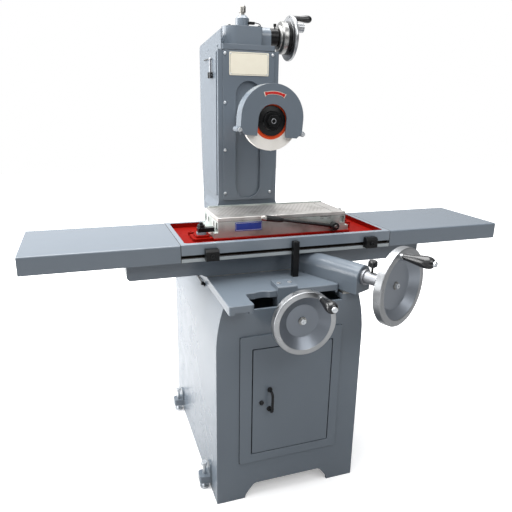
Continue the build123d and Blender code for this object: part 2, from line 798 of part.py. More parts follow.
def hood_form(inset):
    """Outer or inner form of the hood: a deep box under a sloping roof, drawn in towards its foot."""
    step = 1 if inset else 0
    foot = HOOD_FOOT[1] + inset
    front = HOOD_Y[0] + inset
    back = HOOD_Y[1] - inset
    seat = COLUMN_Y[1] - step
    flare = FOOT_BACK + 1 - step
    ledge = CAP_Z + 1 - step
    points = [(flare, foot), (HOOD_FOOT[0] - inset, foot), (HOOD_BEND[0] - inset, HOOD_BEND[1])]
    points += [(back, roof(back) - inset), (front, roof(front) - inset), (front, ledge)]
    points += [(seat, ledge), (seat, FOOT_Z[1] + 1), (flare, FOOT_Z[0] + 1)]
    half = HOOD_HALF - inset
    return prism("x", points, (-half, half), (0, 0, 0, 22 - inset, 0, 0, 0, 0, 0))


def rear_hood():
    """Sheet hood over the rear of the head, with cheeks that stand on the column beside the cap."""
    hood = hood_form(0) - hood_form(SHEET)
    seat = COLUMN_Y[1]
    for side, start in ((-1, CHEEK_Y), (1, HOOD_Y[0])):
        points = [(start, COLUMN_TOP), (seat, COLUMN_TOP), (seat, roof(seat)), (start, roof(start))]
        hood += prism("x", points, sorted((side * HOOD_HALF, side * (HOOD_HALF - SHEET))))
    return hood


def side_panel():
    """Access panel on the column's left side, with the foot and staple of its latch."""
    face = -COLUMN_HALF - SHEET
    pin = face - CLASP_OUT + SHEET
    low, high = CLASP_Z
    panel = prism("x", rect(*PANEL), (face, face + SHEET), 8)
    foot = prism("x", rect(CLASP_Y - 20, CLASP_Y + 20, low - 12, low + 10), (face - 12, face), 3)
    foot -= rod("y", 3 + RUN, (CLASP_Y - 24, CLASP_Y + 26), (pin, low))
    foot -= block((face - 13, face - 1), (CLASP_Y - 8, CLASP_Y + 8), (low - 13, low + 11))
    far = PANEL[1] - 10
    corners = ((face, far, high + 2), (pin, far, high + 2), (pin, CLASP_Y + 10, high + 2))
    path = FilletPolyline(*corners, radius=4)
    staple = sweep(Plane(origin=path @ 0, z_dir=path % 0) * Circle(2), path=path)
    return panel + foot + staple


def latch_lever():
    """Upright lever of the draw latch, with its pivot pin and ball end."""
    pin = -COLUMN_HALF - CLASP_OUT
    low, high = CLASP_Z
    lever = rod("y", 3, (CLASP_Y - 18, CLASP_Y + 18), (pin, low))
    lever += rod("z", 4, (low, high - 3), (pin, CLASP_Y))
    return lever + Pos(pin, CLASP_Y, high) * Sphere(5.5)


# Head, wheel guard and spindle

def head_carrier():
    """Slide block on the column ways, with the nut arm behind it."""
    low = SPINDLE_Z - 110
    high = SPINDLE_Z + 110
    body = block((-98, 98), (530, 582), (low, high))
    for side in (-1, 1):
        slot = sorted((side * (84 - RUN), side * 120))
        body -= block(slot, (538 - RUN, 568 + RUN), (low - 1, high + 1))
    body += block((-32, 32), (581, 626), (SPINDLE_Z + 54, SPINDLE_Z + 104))
    body -= rod("y", HOUSING_R, (520, 590), (0, SPINDLE_Z))
    return body - rod("z", 13 + RUN, (low, high + 9), (0, SCREW_Y))


def spindle_housing():
    """Cartridge bored for two bearings and the built-in motor."""
    points = [(17, 286), (HOUSING_R, 286), (HOUSING_R, 580), (0, 580), (0, 572), (21, 572)]
    points += [(21, 535), (26, 535), (26, 318), (21, 318), (21, 292), (17, 292)]
    cartridge = turned(SPINDLE, points)
    return cartridge + turned(SPINDLE, [(46, 470), (54, 470), (54, 500), (46, 500)])


def spindle_bearings():
    rings = []
    for start, end in ((292.5, 317.5), (536, 560)):
        points = [(15 + RUN, start), (21, start), (21, end), (15 + RUN, end)]
        rings.append(turned(SPINDLE, points))
    return rings


def slot_shield():
    """Plate that closes the column slot round the spindle housing."""
    plate = block((-104, 104), (520, 522), (SPINDLE_Z - 312, SPINDLE_Z + 152))
    return plate - rod("y", HOUSING_R, (515, 525), (0, SPINDLE_Z))


def guard_form(inset, y, foot):
    """Wheel guard section: round above, straight sides and corners cut back at the foot."""
    radius = GUARD_R - inset
    corner = 94 - inset
    start, end = y
    side = [(radius, GUARD_Z), (radius, GUARD_FOOT + 18), (corner, foot)]
    right = [(x, start, z) for x, z in side]
    left = [(-x, start, z) for x, z in side]
    edges = [
        ThreePointArc(left[0], (0, start, GUARD_Z + radius), right[0]),
        Line(right[0], right[1]),
        Line(right[1], right[2]),
        Line(right[2], left[2]),
        Line(left[2], left[1]),
        Line(left[1], left[0]),
    ]
    return extrude(make_face(edges), end - start, dir=(0, 1, 0))


def clamped(body):
    """Guard piece swung about the spindle to the angle at which it is clamped."""
    return Pos(0, 0, SPINDLE_Z) * Rot(0, GUARD_TURN, 0) * Pos(0, 0, -SPINDLE_Z) * body


def guard_lugs(radius, limits):
    """Pair of round lugs, bolts or bores where the guard halves are joined."""
    left, right = LUG_PLACES
    return rod("y", radius, limits, left) + rod("y", radius, limits, right)


def guard_mouth(limits):
    """Opening under the wheel, between the corners of the guard's foot."""
    return block((-80, 80), limits, (GUARD_FOOT - 40, GUARD_FOOT + 30))


def guard_front():
    """Removable half of the guard, with a U-shaped opening round the flange."""
    face = (GUARD_FRONT - 1, GUARD_FRONT + GUARD_WALL + 1)
    hollow = (GUARD_FRONT + GUARD_WALL, GUARD_SEAM + 1)
    body = guard_form(0, (GUARD_FRONT, GUARD_SEAM), GUARD_FOOT)
    body += guard_lugs(9, (GUARD_FRONT, GUARD_SEAM))
    body -= guard_form(GUARD_WALL, hollow, GUARD_FOOT - 30)
    body -= guard_mouth(hollow)
    body -= rod("y", MOUTH_R, face, (0, MOUTH_Z))
    body -= block((-MOUTH_R, MOUTH_R), face, (GUARD_FOOT - 10, MOUTH_Z))
    return clamped(body - guard_lugs(4, (GUARD_FRONT - 1, GUARD_SEAM + 1)))


def guard_rear():
    """Fixed half of the guard, clamped round the spindle housing."""
    hollow = (GUARD_SEAM - 1, GUARD_BACK - GUARD_WALL)
    body = guard_form(0, (GUARD_SEAM, GUARD_BACK), GUARD_FOOT)
    body += guard_lugs(9, (GUARD_SEAM, GUARD_BACK - 3))
    body -= guard_form(GUARD_WALL, hollow, GUARD_FOOT - 30)
    body -= guard_mouth(hollow)
    body -= rod("y", HOUSING_R, (GUARD_SEAM - 1, GUARD_BACK + 1), (0, SPINDLE_Z))
    return clamped(body - guard_lugs(4, (GUARD_SEAM - 1, GUARD_BACK + 1)))


def guard_bolts():
    bolts = []
    for at in LUG_PLACES:
        bolt = rod("y", 4, (GUARD_FRONT, GUARD_BACK - 6), at)
        bolt += rod("y", 7, (GUARD_FRONT - 7, GUARD_FRONT), at)
        socket = prism("y", hexagon(6, at), (GUARD_FRONT - 8, GUARD_FRONT - 3))
        bolts.append(clamped(bolt - socket))
    return bolts


def spindle_shaft():
    """Spindle nose, bearing seats and the rotor of the built-in motor."""
    points = [(0, 234), (12, 234), (12, 285), (15, 285), (15, 330), (25.4, 330), (25.4, 524)]
    points += [(15, 524), (15, 566), (0, 566)]
    return turned(SPINDLE, points)


def wheel_flanges():
    """Dished inner and outer flanges that pinch the wheel."""
    front, back = WHEEL_Y
    rim = FLANGE_R
    outer = [(12, front - 15), (30, front - 15), (34, front - 9), (rim, front - 6), (rim, front - 1)]
    outer += [(12, front - 1)]
    inner = [(12, front), (15.7, front), (15.7, back + 1), (rim, back + 1), (rim, back + 6)]
    inner += [(30, back + 9), (12, back + 9)]
    return [turned(SPINDLE, outer), turned(SPINDLE, inner)]


def grinding_wheel():
    front, back = WHEEL_Y
    points = [(16, front), (WHEEL_R, front), (WHEEL_R, back), (16, back)]
    return turned(SPINDLE, points, (0, 1, 1, 0))


def blotters():
    """Paper discs between the flanges and the wheel."""
    front, back = WHEEL_Y
    discs = []
    for start, end in ((front - 1, front), (back, back + 1)):
        points = [(16, start), (BLOTTER_R, start), (BLOTTER_R, end), (16, end)]
        discs.append(turned(SPINDLE, points))
    return discs


def spindle_nut():
    """Cap nut over the spindle nose, with a key socket in its closed end."""
    at = (0, SPINDLE_Z)
    seat = WHEEL_Y[0] - 15
    nut = prism("y", hexagon(38, at), (seat - 13, seat))
    nut -= rod("y", 12, (seat - 8, seat + 1), at)
    return nut - prism("y", hexagon(10, at), (seat - 14, seat - 9))


# Elevating gear

def mitre_gear(start):
    """Straight bevel gear about Z with its apex at the origin and its back below."""
    faces = []
    for scale in (1, 0.66):
        size = MITRE_R * scale
        root = 0.88 * size
        tip = 1.1 * size
        faces.append(gear_outline(MITRE_TEETH, root, tip, 0.09 * size, 0.044 * size, start, -size))
    return loft(faces, ruled=True)


def elevating_screw():
    """Lifting screw with a bevel gear near its top journal."""
    points = [(0, 1124), (13, 1124), (13, 1577), (17, 1577), (17, 1597), (8, 1604)]
    points += [(8, 1668), (0, 1668)]
    gear = Pos(0, SCREW_Y, SHAFT_Z) * mitre_gear(0)
    return turned(SCREW, points) + gear


def elevating_shaft():
    """Cross shaft with the mating bevel gear at its inner end."""
    step = 180 / MITRE_TEETH
    gear = ELEVATING.location * Rot(180, 0, 0) * mitre_gear(90 + step)
    end = LIFT_END + 4
    points = [(0, 13), (8, 13), (15, 19), (15, 34), (10, 34), (10, end), (0, end)]
    return gear + turned(ELEVATING, points)


def gear_housing():
    """Rounded gear case on the cap, with the bearing block of the cross shaft at its right."""
    case = prism("z", rect(-81, 65, SCREW_Y - 55, SCREW_Y + 55), (CAP_Z, 1645), (54, 6, 6, 54))
    arch_top = [
        Line((64, SCREW_Y - 34, CAP_Z), (64, SCREW_Y + 34, CAP_Z)),
        Line((64, SCREW_Y + 34, CAP_Z), (64, SCREW_Y + 34, SHAFT_Z)),
        ThreePointArc(
            (64, SCREW_Y + 34, SHAFT_Z), (64, SCREW_Y, SHAFT_Z + 34), (64, SCREW_Y - 34, SHAFT_Z)
        ),
        Line((64, SCREW_Y - 34, SHAFT_Z), (64, SCREW_Y - 34, CAP_Z)),
    ]
    case += extrude(make_face(arch_top), COLLAR_X[0] - 64, dir=(1, 0, 0))
    case -= prism("z", rect(-44, 58, SCREW_Y - 40, SCREW_Y + 40), (CAP_Z - 1, 1645 - 5), 12)
    case -= rod("x", 10 + RUN, (50, 125), (SCREW_Y, SHAFT_Z))
    return case - rod("z", 16, (1630, 1650), (0, SCREW_Y))


def shaft_collar():
    """Fixed collar with the reference line for the dial and its clamp screw."""
    start, end = COLLAR_X
    at = (end - 9, SCREW_Y)
    collar = turned(ELEVATING, [(10 + RUN, start), (33, start), (33, end), (10 + RUN, end)], (0, 3, 3, 0))
    collar += rod("z", 3, (SHAFT_Z + 32, SHAFT_Z + 42), at)
    return collar + rod("z", 6, (SHAFT_Z + 40, SHAFT_Z + 50), at)


def screw_cap():
    """Turned bearing cap with an oil cup on top."""
    points = [(8 + RUN, 1638.5), (15.7, 1638.5), (15.7, 1645), (26.5, 1645), (26.5, 1676), (14, 1688)]
    points += [(8, 1690), (8, 1697), (13, 1697), (13, 1718), (8, 1724), (0, 1724), (0, 1672)]
    points += [(8 + RUN, 1672)]
    return turned(SCREW, points)


def elevating_dial():
    """Stepped graduated drum."""
    start = COLLAR_X[1] + 1
    points = [(10, start), (42, start), (46, start + 3), (46, start + 7), (60, start + 11)]
    points += [(61, DIAL_END), (10, DIAL_END)]
    return turned(ELEVATING, points, (0, 1, 1, 1, 3, 1, 0))


def elevating_wheel():
    """Rim with a recessed band behind it, a dished face, the dial's clamp boss and the handle pin."""
    web = LIFT_END - 7
    hub = LIFT_END + 4
    points = [(10, DIAL_END), (BAND_R, DIAL_END), (BAND_R, BAND_END), (LIFT_R, BAND_END)]
    points += [(LIFT_R, LIFT_END), (LIFT_R - 18, LIFT_END), (LIFT_R - 25, web), (24, web)]
    points += [(20, hub), (10, hub)]
    wheel = turned(ELEVATING, points, (0, 1, 2, 4, 5, 4, 3, 3, 3, 0))
    wheel += ELEVATING.location * Pos(-14, 40, LIFT_END + 18) * Cylinder(18, 52)
    wheel -= ELEVATING.location * Pos(-14, 75, BAND_END) * Cylinder(3.5, 10)
    return wheel + handle_pin(ELEVATING_HANDLE, ELEVATING_GRIP)


def crossfeed_grip():
    return grip(CROSS_HANDLE, CROSS_GRIP, GRIP_R)


def traverse_grip():
    return grip(TRAVERSE_HANDLE, TRAVERSE_GRIP, GRIP_R)


def elevating_grip():
    return grip(ELEVATING_HANDLE, ELEVATING_GRIP, SMALL_GRIP_R)


PIECES = [
    base_front_plate, base_shell, levelling_bolts, bed, crossfeed_nut,
    door_frame, door, door_handle, door_latch,
    saddle_shelf, saddle_beam, stop_post, crossfeed_bracket,
    traverse_housing, traverse_sleeve, traverse_lock,
    crossfeed_screw, crossfeed_dial, crossfeed_wheel, crossfeed_grip,
    traverse_shaft, traverse_wheel, traverse_grip, rack,
    table, table_guards, left_dog, right_dog,
    chuck_body, chuck_top, chuck_clamps, chuck_lever,
    column, front_cover, cover_screws, blank_plate, cap_plate, rear_hood, side_panel, latch_lever,
    head_carrier, spindle_housing, spindle_bearings, slot_shield,
    guard_front, guard_rear, guard_bolts,
    spindle_shaft, wheel_flanges, grinding_wheel, blotters, spindle_nut,
    elevating_screw, elevating_shaft, gear_housing, shaft_collar, screw_cap,
    elevating_dial, elevating_wheel, elevating_grip,
]

os.makedirs("parts", exist_ok=True)
for piece in PIECES:
    made = piece()
    solids = made if isinstance(made, list) else [made]
    centred = [Pos(0, -BASE_D / 2, 0) * solid for solid in solids]
    whole = Compound(children=centred) if len(centred) > 1 else centred[0]
    export_step(whole, f"parts/{piece.__name__}.step")
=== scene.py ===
from math import cos, pi, radians, sin

import bpy
from mathutils import Matrix, Vector


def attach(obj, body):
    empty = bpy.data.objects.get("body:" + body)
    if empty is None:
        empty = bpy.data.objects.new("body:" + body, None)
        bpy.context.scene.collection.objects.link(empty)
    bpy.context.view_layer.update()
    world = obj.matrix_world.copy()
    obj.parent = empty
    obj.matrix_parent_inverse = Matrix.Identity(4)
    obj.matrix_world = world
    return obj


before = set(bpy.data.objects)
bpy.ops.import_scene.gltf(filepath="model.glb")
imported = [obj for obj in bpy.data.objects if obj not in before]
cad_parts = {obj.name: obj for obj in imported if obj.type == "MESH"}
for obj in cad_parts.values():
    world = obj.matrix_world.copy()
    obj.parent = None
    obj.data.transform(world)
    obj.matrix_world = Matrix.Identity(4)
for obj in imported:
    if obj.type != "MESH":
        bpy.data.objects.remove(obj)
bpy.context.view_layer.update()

# Places are in millimetres from the middle of the cabinet's front edge at floor level,
# X to the right, Y to the rear and Z up, as they would be measured on the machine
CABINET_DEPTH = 734

# Table and chuck, each from its lower front left corner to its upper rear right one
TABLE = ((-341, 155, 856), (449, 498, 916))
RIM = 17
CHUCK = ((-190, 254, 906), (310, 454, 978))
LEVER = (258, 226, 927)

# Handwheels: middle of the hub, then the handle's radius, its turn and its end along the axis,
# the radius of the crossfeed dial, the skew of the traverse shaft and the face of the washers
CROSS_HUB = (-18, -126, 722)
CROSS_CRANK, CROSS_TURN, CROSS_GRIP = 90.5, radians(60), 103
CROSS_DIAL = 22.95
TRAVERSE_HUB = (300, -145, 813)
TRAVERSE_CRANK, TRAVERSE_TURN, TRAVERSE_GRIP = 116, radians(107), 123
SKEW = radians(25.4)
WASHER_FACE = -11

# Elevating wheel: hub, radius of its drum, and its groove's ends along the axis and radius
ELEVATING_HUB = (0, 598, 1616)
ELEVATING_DRUM = 60.4
ELEVATING_GROOVE = (172.5, 189.5, 64)

# Wheel spindle, front of its nut, and the guard's turn about it
SPINDLE = (0, 239, 1308)
NUT_FACE = 228
GUARD_TURN = radians(4)

# Rectangles on upright faces: left, right, low and high
DOOR = (-140, 147, 188, 587)
DOOR_FRAME = (-185, 183, 152, 637)
BLUE_PLATE = (-128, -26, 927, 959)
CREAM_BORDER = (-74.5, 74.5, 1469.5, 1544.5)

# Faces that small pieces stand on
# Depth of the black sheet behind the door gap, which is painted shade
GAP_SHADE_DEPTH = 6
CREAM_FRONT = 504.5
BRACKET_TOP = 793
CASE_TOP = 1645
HOOD_SIDE = 108.5

# Boxes round bare iron, and round the blackened latch on the column's side
BED_WAYS = [((-230, -2, 748.5), (-170, 500, 757)), ((170, -2, 748.5), (230, 500, 757))]
BEAM_WAYS = ((-520, 200, 856.4), (630, 460, 880))
# A bare iron strip along the beam's joint with the shelf stands in for a highlight line
BEAM_JOINT_HIGHLIGHT = ((-240, 214, 778), (250, 217, 780.8))
OIL_CUP = ((-40, 540, 1688), (40, 660, 1740))
LATCH_FOOT = ((-160, 560, 1440), (-125.6, 615, 1490))
LATCH_STAPLE = ((-160, 590, 1500), (-125.6, 700, 1545))

# Directions of the three handwheel shafts, and across the skewed one
TO_FRONT = Vector((0, -1, 0))
TO_RIGHT = Vector((1, 0, 0))
TRAVERSE_AXIS = Vector((sin(SKEW), -cos(SKEW), 0))
TRAVERSE_SIDE = Vector((cos(SKEW), sin(SKEW), 0))
UP = Vector((0, 0, 1))


def at(x, y, z):
    """Place on the machine in metres, in the shared frame."""
    return Vector((x, y - CABINET_DEPTH / 2, z)) / 1000


def mm(length):
    """Metres from millimetres."""
    return length / 1000


# Materials

# A wave texture at a scale of 1 repeats every 0.314 m
WAVE = 0.314


def linear(code):
    """Linear colour of an sRGB hex value."""
    channels = [int(code[i:i + 2], 16) / 255 for i in (1, 3, 5)]
    return [c / 12.92 if c <= 0.04045 else ((c + 0.055) / 1.055) ** 2.4 for c in channels] + [1]


def add(tree, kind, out=None, inputs=None, **settings):
    """Adds a node with its settings, and values or links at its inputs.

    Gives the node, or one of its outputs where out names it."""
    node = tree.nodes.new(kind)
    for name, value in settings.items():
        setattr(node, name, value)
    for name, value in (inputs or {}).items():
        if isinstance(value, bpy.types.NodeSocket):
            tree.links.new(value, node.inputs[name])
        else:
            node.inputs[name].default_value = value
    return node if out is None else node.outputs[out]


def start(name):
    """Empty material with its tree and the piece's own coordinates."""
    material = bpy.data.materials.new(name)
    material.use_nodes = True
    tree = material.node_tree
    tree.nodes.clear()
    return material, tree, add(tree, "ShaderNodeTexCoord", "Object")


def closed(material, tree, shader):
    """Material whose surface is a shader of its tree."""
    add(tree, "ShaderNodeOutputMaterial", None, {"Surface": shader})
    return material


def inside(tree, place, low, high):
    """One within a box on the machine, and nothing outside it."""
    low, high = at(*low), at(*high)
    middle, half = (low + high) / 2, (high - low) / 2
    away = add(tree, "ShaderNodeVectorMath", 0, {0: place, 1: middle}, operation="SUBTRACT")
    away = add(tree, "ShaderNodeVectorMath", 0, {0: away}, operation="ABSOLUTE")
    room = add(tree, "ShaderNodeVectorMath", 0, {0: half, 1: away}, operation="SUBTRACT")
    x, y, z = add(tree, "ShaderNodeSeparateXYZ", None, {0: room}).outputs
    least = add(tree, "ShaderNodeMath", 0, {0: x, 1: y}, operation="MINIMUM")
    least = add(tree, "ShaderNodeMath", 0, {0: least, 1: z}, operation="MINIMUM")
    return add(tree, "ShaderNodeMath", 0, {0: least, 1: 0.0}, operation="GREATER_THAN")


def inside_any(tree, place, boxes):
    """One within any of several boxes on the machine."""
    whole = 0.0
    for low, high in boxes:
        own = inside(tree, place, low, high)
        whole = add(tree, "ShaderNodeMath", 0, {0: whole, 1: own}, operation="MAXIMUM")
    return whole


def edges(tree, radius):
    """Softened normal, and a mask of the edges where it leaves the true one."""
    soft = add(tree, "ShaderNodeBevel", 0, {"Radius": mm(radius)}, samples=6)
    true = add(tree, "ShaderNodeNewGeometry", "Normal")
    match = add(tree, "ShaderNodeVectorMath", "Value", {0: soft, 1: true}, operation="DOT_PRODUCT")
    mask = add(tree, "ShaderNodeMapRange", 0, {
        "Value": match, "From Min": 0.6, "From Max": 0.97, "To Min": 1.0, "To Max": 0.0})
    return soft, mask


GREY = "#68717a"
GREY_THICK = "#636c75"
# Paler grey at enamel edges: partly thin paint, partly a painted highlight
GREY_EDGE = "#9aa2a8"
# Paler grey of the band under the T-slot, a painted highlight
GREY_LIT_LIP = "#9aa1a3"
RED = "#840b02"
RED_THICK = "#700701"
IRON = "#aaa8a3"
IRON_STAIN = "#7f7c75"
DEEP_BLACK = "#0b0c0d"
BLACKENED = "#101112"


def enamel_coat(tree, place, colour=GREY, thick=GREY_THICK, ripple=0.2):
    """Colour, roughness and normal of sprayed machine enamel.

    The eye sees a smooth wet gloss that waves slowly over the filler on the iron, a shade deeper
    where the coat is thick, and a paler line at the edges, partly where the paint draws back from
    them and partly a painted highlight."""
    soft, edge = edges(tree, 1.8)
    clouds = add(tree, "ShaderNodeTexNoise", 0, {
        "Vector": place, "Scale": 1 / mm(320), "Detail": 2.0})
    tint = add(tree, "ShaderNodeMix", 2, {
        0: clouds, 6: linear(colour), 7: linear(thick)}, data_type="RGBA")
    # Edges are mixed towards a paler grey: partly paint drawn back, partly a painted highlight
    pale_edge = add(tree, "ShaderNodeMath", 0, {0: edge, 1: 0.35}, operation="MULTIPLY")
    tint = add(tree, "ShaderNodeMix", 2, {0: pale_edge, 6: tint, 7: linear(GREY_EDGE)}, data_type="RGBA")
    streak = add(tree, "ShaderNodeTexNoise", 0, {
        "Vector": place, "Scale": 1 / mm(70), "Detail": 3.0})
    gloss = add(tree, "ShaderNodeMapRange", 0, {
        "Value": streak, "From Min": 0.3, "From Max": 0.7, "To Min": 0.2, "To Max": 0.27})
    waves = add(tree, "ShaderNodeTexNoise", 0, {
        "Vector": place, "Scale": 1 / mm(170), "Detail": 1.0})
    normal = add(tree, "ShaderNodeBump", 0, {
        "Strength": ripple, "Distance": mm(0.9), "Height": waves, "Normal": soft})
    # Orange peel is 2 to 3 mm across, and is drawn at 8 mm so that it shows
    peel = add(tree, "ShaderNodeTexNoise", 0, {"Vector": place, "Scale": 1 / mm(8), "Detail": 1.0})
    normal = add(tree, "ShaderNodeBump", 0, {
        "Strength": ripple * 0.1, "Distance": mm(0.15), "Height": peel, "Normal": normal})
    return tint, gloss, normal


def machine_enamel(name, ripple, colour=GREY, thick=GREY_THICK):
    """Grey enamel all over, waving less where the filler was flatted."""
    material, tree, place = start(name)
    tint, gloss, normal = enamel_coat(tree, place, colour, thick, ripple)
    shader = add(tree, "ShaderNodeBsdfPrincipled", 0, {
        "Base Color": tint, "Roughness": gloss, "Normal": normal, "IOR": 1.52})
    return closed(material, tree, shader)


def cut_metal(tree, place, colour, stain, stretch, rough):
    """Colour, roughness and normal of machined iron or steel.

    The eye sees a grey shine drawn out along the cut, with darker oily patches."""
    soft, edge = edges(tree, 0.8)
    along = add(tree, "ShaderNodeVectorMath", 0, {0: place, 1: stretch}, operation="MULTIPLY")
    # Feed marks are about 0.5 mm apart, and are drawn at 2.5 mm so that they show
    marks = add(tree, "ShaderNodeTexNoise", 0, {
        "Vector": along, "Scale": 1 / mm(2.5), "Detail": 2.0})
    oil = add(tree, "ShaderNodeTexNoise", 0, {"Vector": place, "Scale": 1 / mm(60), "Detail": 4.0})
    oil = add(tree, "ShaderNodeMapRange", 0, {"Value": oil, "From Min": 0.45, "From Max": 0.7})
    tint = add(tree, "ShaderNodeMix", 2, {
        0: oil, 6: linear(colour), 7: linear(stain)}, data_type="RGBA")
    pale_edge = add(tree, "ShaderNodeMath", 0, {0: edge, 1: 0.35}, operation="MULTIPLY")
    tint = add(tree, "ShaderNodeMix", 2, {0: pale_edge, 6: tint, 7: linear("#e2e1dd")}, data_type="RGBA")
    gloss = add(tree, "ShaderNodeMapRange", 0, {
        "Value": marks, "From Min": 0.3, "From Max": 0.7,
        "To Min": rough - 0.05, "To Max": rough + 0.08})
    normal = add(tree, "ShaderNodeBump", 0, {
        "Strength": 0.18, "Distance": mm(0.1), "Height": marks, "Normal": soft})
    return tint, gloss, normal


def sooted(tree, place, tint, boxes):
    """Colour that turns black in some boxes, for dark joints, black fittings and painted shade."""
    dark = inside_any(tree, place, boxes)
    return add(tree, "ShaderNodeMix", 2, {0: dark, 6: tint, 7: linear(DEEP_BLACK)}, data_type="RGBA")


def machined(name, colour, stain, stretch, rough, shade_boxes=()):
    """Bare metal all over, painted black as shade in some boxes."""
    material, tree, place = start(name)
    tint, gloss, normal = cut_metal(tree, place, colour, stain, stretch, rough)
    if shade_boxes:
        tint = sooted(tree, place, tint, shade_boxes)
    shader = add(tree, "ShaderNodeBsdfPrincipled", 0, {
        "Base Color": tint, "Metallic": 1.0, "Roughness": gloss, "Normal": normal})
    return closed(material, tree, shader)


def partly_machined(name, ways=(), seams_and_shade=()):
    """Enamelled piece with bare cut iron in some boxes and, in others, dark joints, black fittings
    and painted shade.
    """
    material, tree, place = start(name)
    tint, gloss, normal = enamel_coat(tree, place)
    bare = 0.0
    if ways:
        iron = cut_metal(tree, place, IRON, IRON_STAIN, (0.08, 1, 1), 0.32)
        bare = inside_any(tree, place, ways)
        tint = add(tree, "ShaderNodeMix", 2, {0: bare, 6: tint, 7: iron[0]}, data_type="RGBA")
        gloss = add(tree, "ShaderNodeMix", 0, {0: bare, 2: gloss, 3: iron[1]})
    if seams_and_shade:
        tint = sooted(tree, place, tint, seams_and_shade)
    shader = add(tree, "ShaderNodeBsdfPrincipled", 0, {
        "Base Color": tint, "Roughness": gloss, "Normal": normal, "Metallic": bare, "IOR": 1.52})
    return closed(material, tree, shader)


def tray_enamel():
    """Grey enamelled table whose trough is brushed out in oil-proof red.

    The eye sees a deep red floor and walls inside a grey rim, a paler band under the T-slot as a
    painted highlight, the slot dark with old oil and painted shade, a band of painted shade on the
    apron along it, and dark joints at the table's ends."""
    material, tree, place = start("tray enamel, grey and oil-proof red")
    (left, front, low), (right, back, high) = TABLE
    tint, gloss, normal = enamel_coat(tree, place, "#757e87", "#707982")
    # Brush marks in the red are about 1 mm, and are drawn at 6 mm so that they show
    drawn = add(tree, "ShaderNodeVectorMath", 0, {0: place, 1: (0.12, 1, 1)}, operation="MULTIPLY")
    brush = add(tree, "ShaderNodeTexNoise", 0, {"Vector": drawn, "Scale": 1 / mm(6), "Detail": 3.0})
    red = add(tree, "ShaderNodeMix", 2, {
        0: brush, 6: linear(RED), 7: linear(RED_THICK)}, data_type="RGBA")
    first = (left + RIM - 0.5, front + 21.5, low + 34)
    last = (right - RIM + 0.5, back - RIM + 0.5, high - 0.4)
    trough = inside(tree, place, first, last)
    # Heights over the apron's lower edge: paler band to 11.5, slot 15 to 23, with painted shade
    # drawn past it
    # Painted highlight: a paler band along the apron's lower edge
    lit_lip = inside(tree, place, (left - 1, front - 1, low - 1), (right + 1, front + 1, low + 11.5))
    slot = ((left - 1, front + 0.6, low + 11), (right + 1, front + 15, low + 27))
    # Painted shade: the slot darkened, partly as old oil, and a dark band on the apron along it
    streak = ((left - 1, front - 1, low + 12.4), (right + 1, front + 1, low + 24.2))
    dark = inside_any(tree, place, [slot, streak] + end_joints())
    tint = add(tree, "ShaderNodeMix", 2, {0: lit_lip, 6: tint, 7: linear(GREY_LIT_LIP)}, data_type="RGBA")
    tint = add(tree, "ShaderNodeMix", 2, {0: trough, 6: tint, 7: red}, data_type="RGBA")
    tint = add(tree, "ShaderNodeMix", 2, {0: dark, 6: tint, 7: linear("#221c18")}, data_type="RGBA")
    gloss = add(tree, "ShaderNodeMix", 0, {0: trough, 2: gloss, 3: 0.6})
    shine = add(tree, "ShaderNodeMix", 0, {0: trough, 2: 0.5, 3: 0.05})
    normal = add(tree, "ShaderNodeBump", 0, {
        "Strength": 0.12, "Distance": mm(0.4), "Height": brush, "Normal": normal})
    shader = add(tree, "ShaderNodeBsdfPrincipled", 0, {
        "Base Color": tint, "Roughness": gloss, "Normal": normal,
        "Specular IOR Level": shine, "IOR": 1.5})
    return closed(material, tree, shader)


def wheel_alloy(name, hub, turn, painted_to, paint="#777d85", band=None):
    """Cast aluminium handwheel with a turned and polished rim round a dish in aluminium paint.

    The eye sees a bright rim with fine rings from the lathe, a sheen of grey paint in the dish
    and, where there is a groove, a black band."""
    material, tree, place = start(name)
    coat = enamel_coat(tree, place, paint, paint)[0]
    own = add(tree, "ShaderNodeMapping", 0, {
        "Vector": place, "Location": at(*hub), "Rotation": turn}, vector_type="TEXTURE")
    flat = add(tree, "ShaderNodeVectorMath", 0, {0: own, 1: (1, 1, 0)}, operation="MULTIPLY")
    reach = add(tree, "ShaderNodeVectorMath", "Value", {0: flat}, operation="LENGTH")
    dish = add(tree, "ShaderNodeMath", 0, {0: reach, 1: mm(painted_to)}, operation="LESS_THAN")
    soft = add(tree, "ShaderNodeBevel", 0, {"Radius": mm(1.2)}, samples=6)
    # Lathe rings are about 0.2 mm apart, and are drawn at 1.6 mm so that they show
    rings = add(tree, "ShaderNodeTexWave", 1, {
        "Vector": flat, "Scale": WAVE / mm(1.6), "Distortion": 1.5, "Detail": 2.0},
        wave_type="RINGS", rings_direction="Z")
    haze = add(tree, "ShaderNodeTexNoise", 0, {"Vector": place, "Scale": 1 / mm(30), "Detail": 4.0})
    bright = add(tree, "ShaderNodeMix", 2, {
        0: haze, 6: linear("#b0b2b4"), 7: linear("#9b9d9f")}, data_type="RGBA")
    polish = add(tree, "ShaderNodeMapRange", 0, {
        "Value": haze, "From Min": 0.3, "From Max": 0.7, "To Min": 0.26, "To Max": 0.36})
    normal = add(tree, "ShaderNodeBump", 0, {
        "Strength": 0.1, "Distance": mm(0.06), "Height": rings, "Normal": soft})
    tint = add(tree, "ShaderNodeMix", 2, {0: dish, 6: bright, 7: coat}, data_type="RGBA")
    coated = dish
    if band:
        ring = inside_band(tree, own, reach, *band)
        tint = add(tree, "ShaderNodeMix", 2, {
            0: ring, 6: tint, 7: linear(BLACKENED)}, data_type="RGBA")
        coated = add(tree, "ShaderNodeMath", 0, {0: dish, 1: ring}, operation="MAXIMUM")
    metal = add(tree, "ShaderNodeMix", 0, {0: coated, 2: 1.0, 3: 0.6})
    gloss = add(tree, "ShaderNodeMix", 0, {0: coated, 2: polish, 3: 0.34})
    shader = add(tree, "ShaderNodeBsdfPrincipled", 0, {
        "Base Color": tint, "Metallic": metal, "Roughness": gloss, "Normal": normal})
    return closed(material, tree, shader)


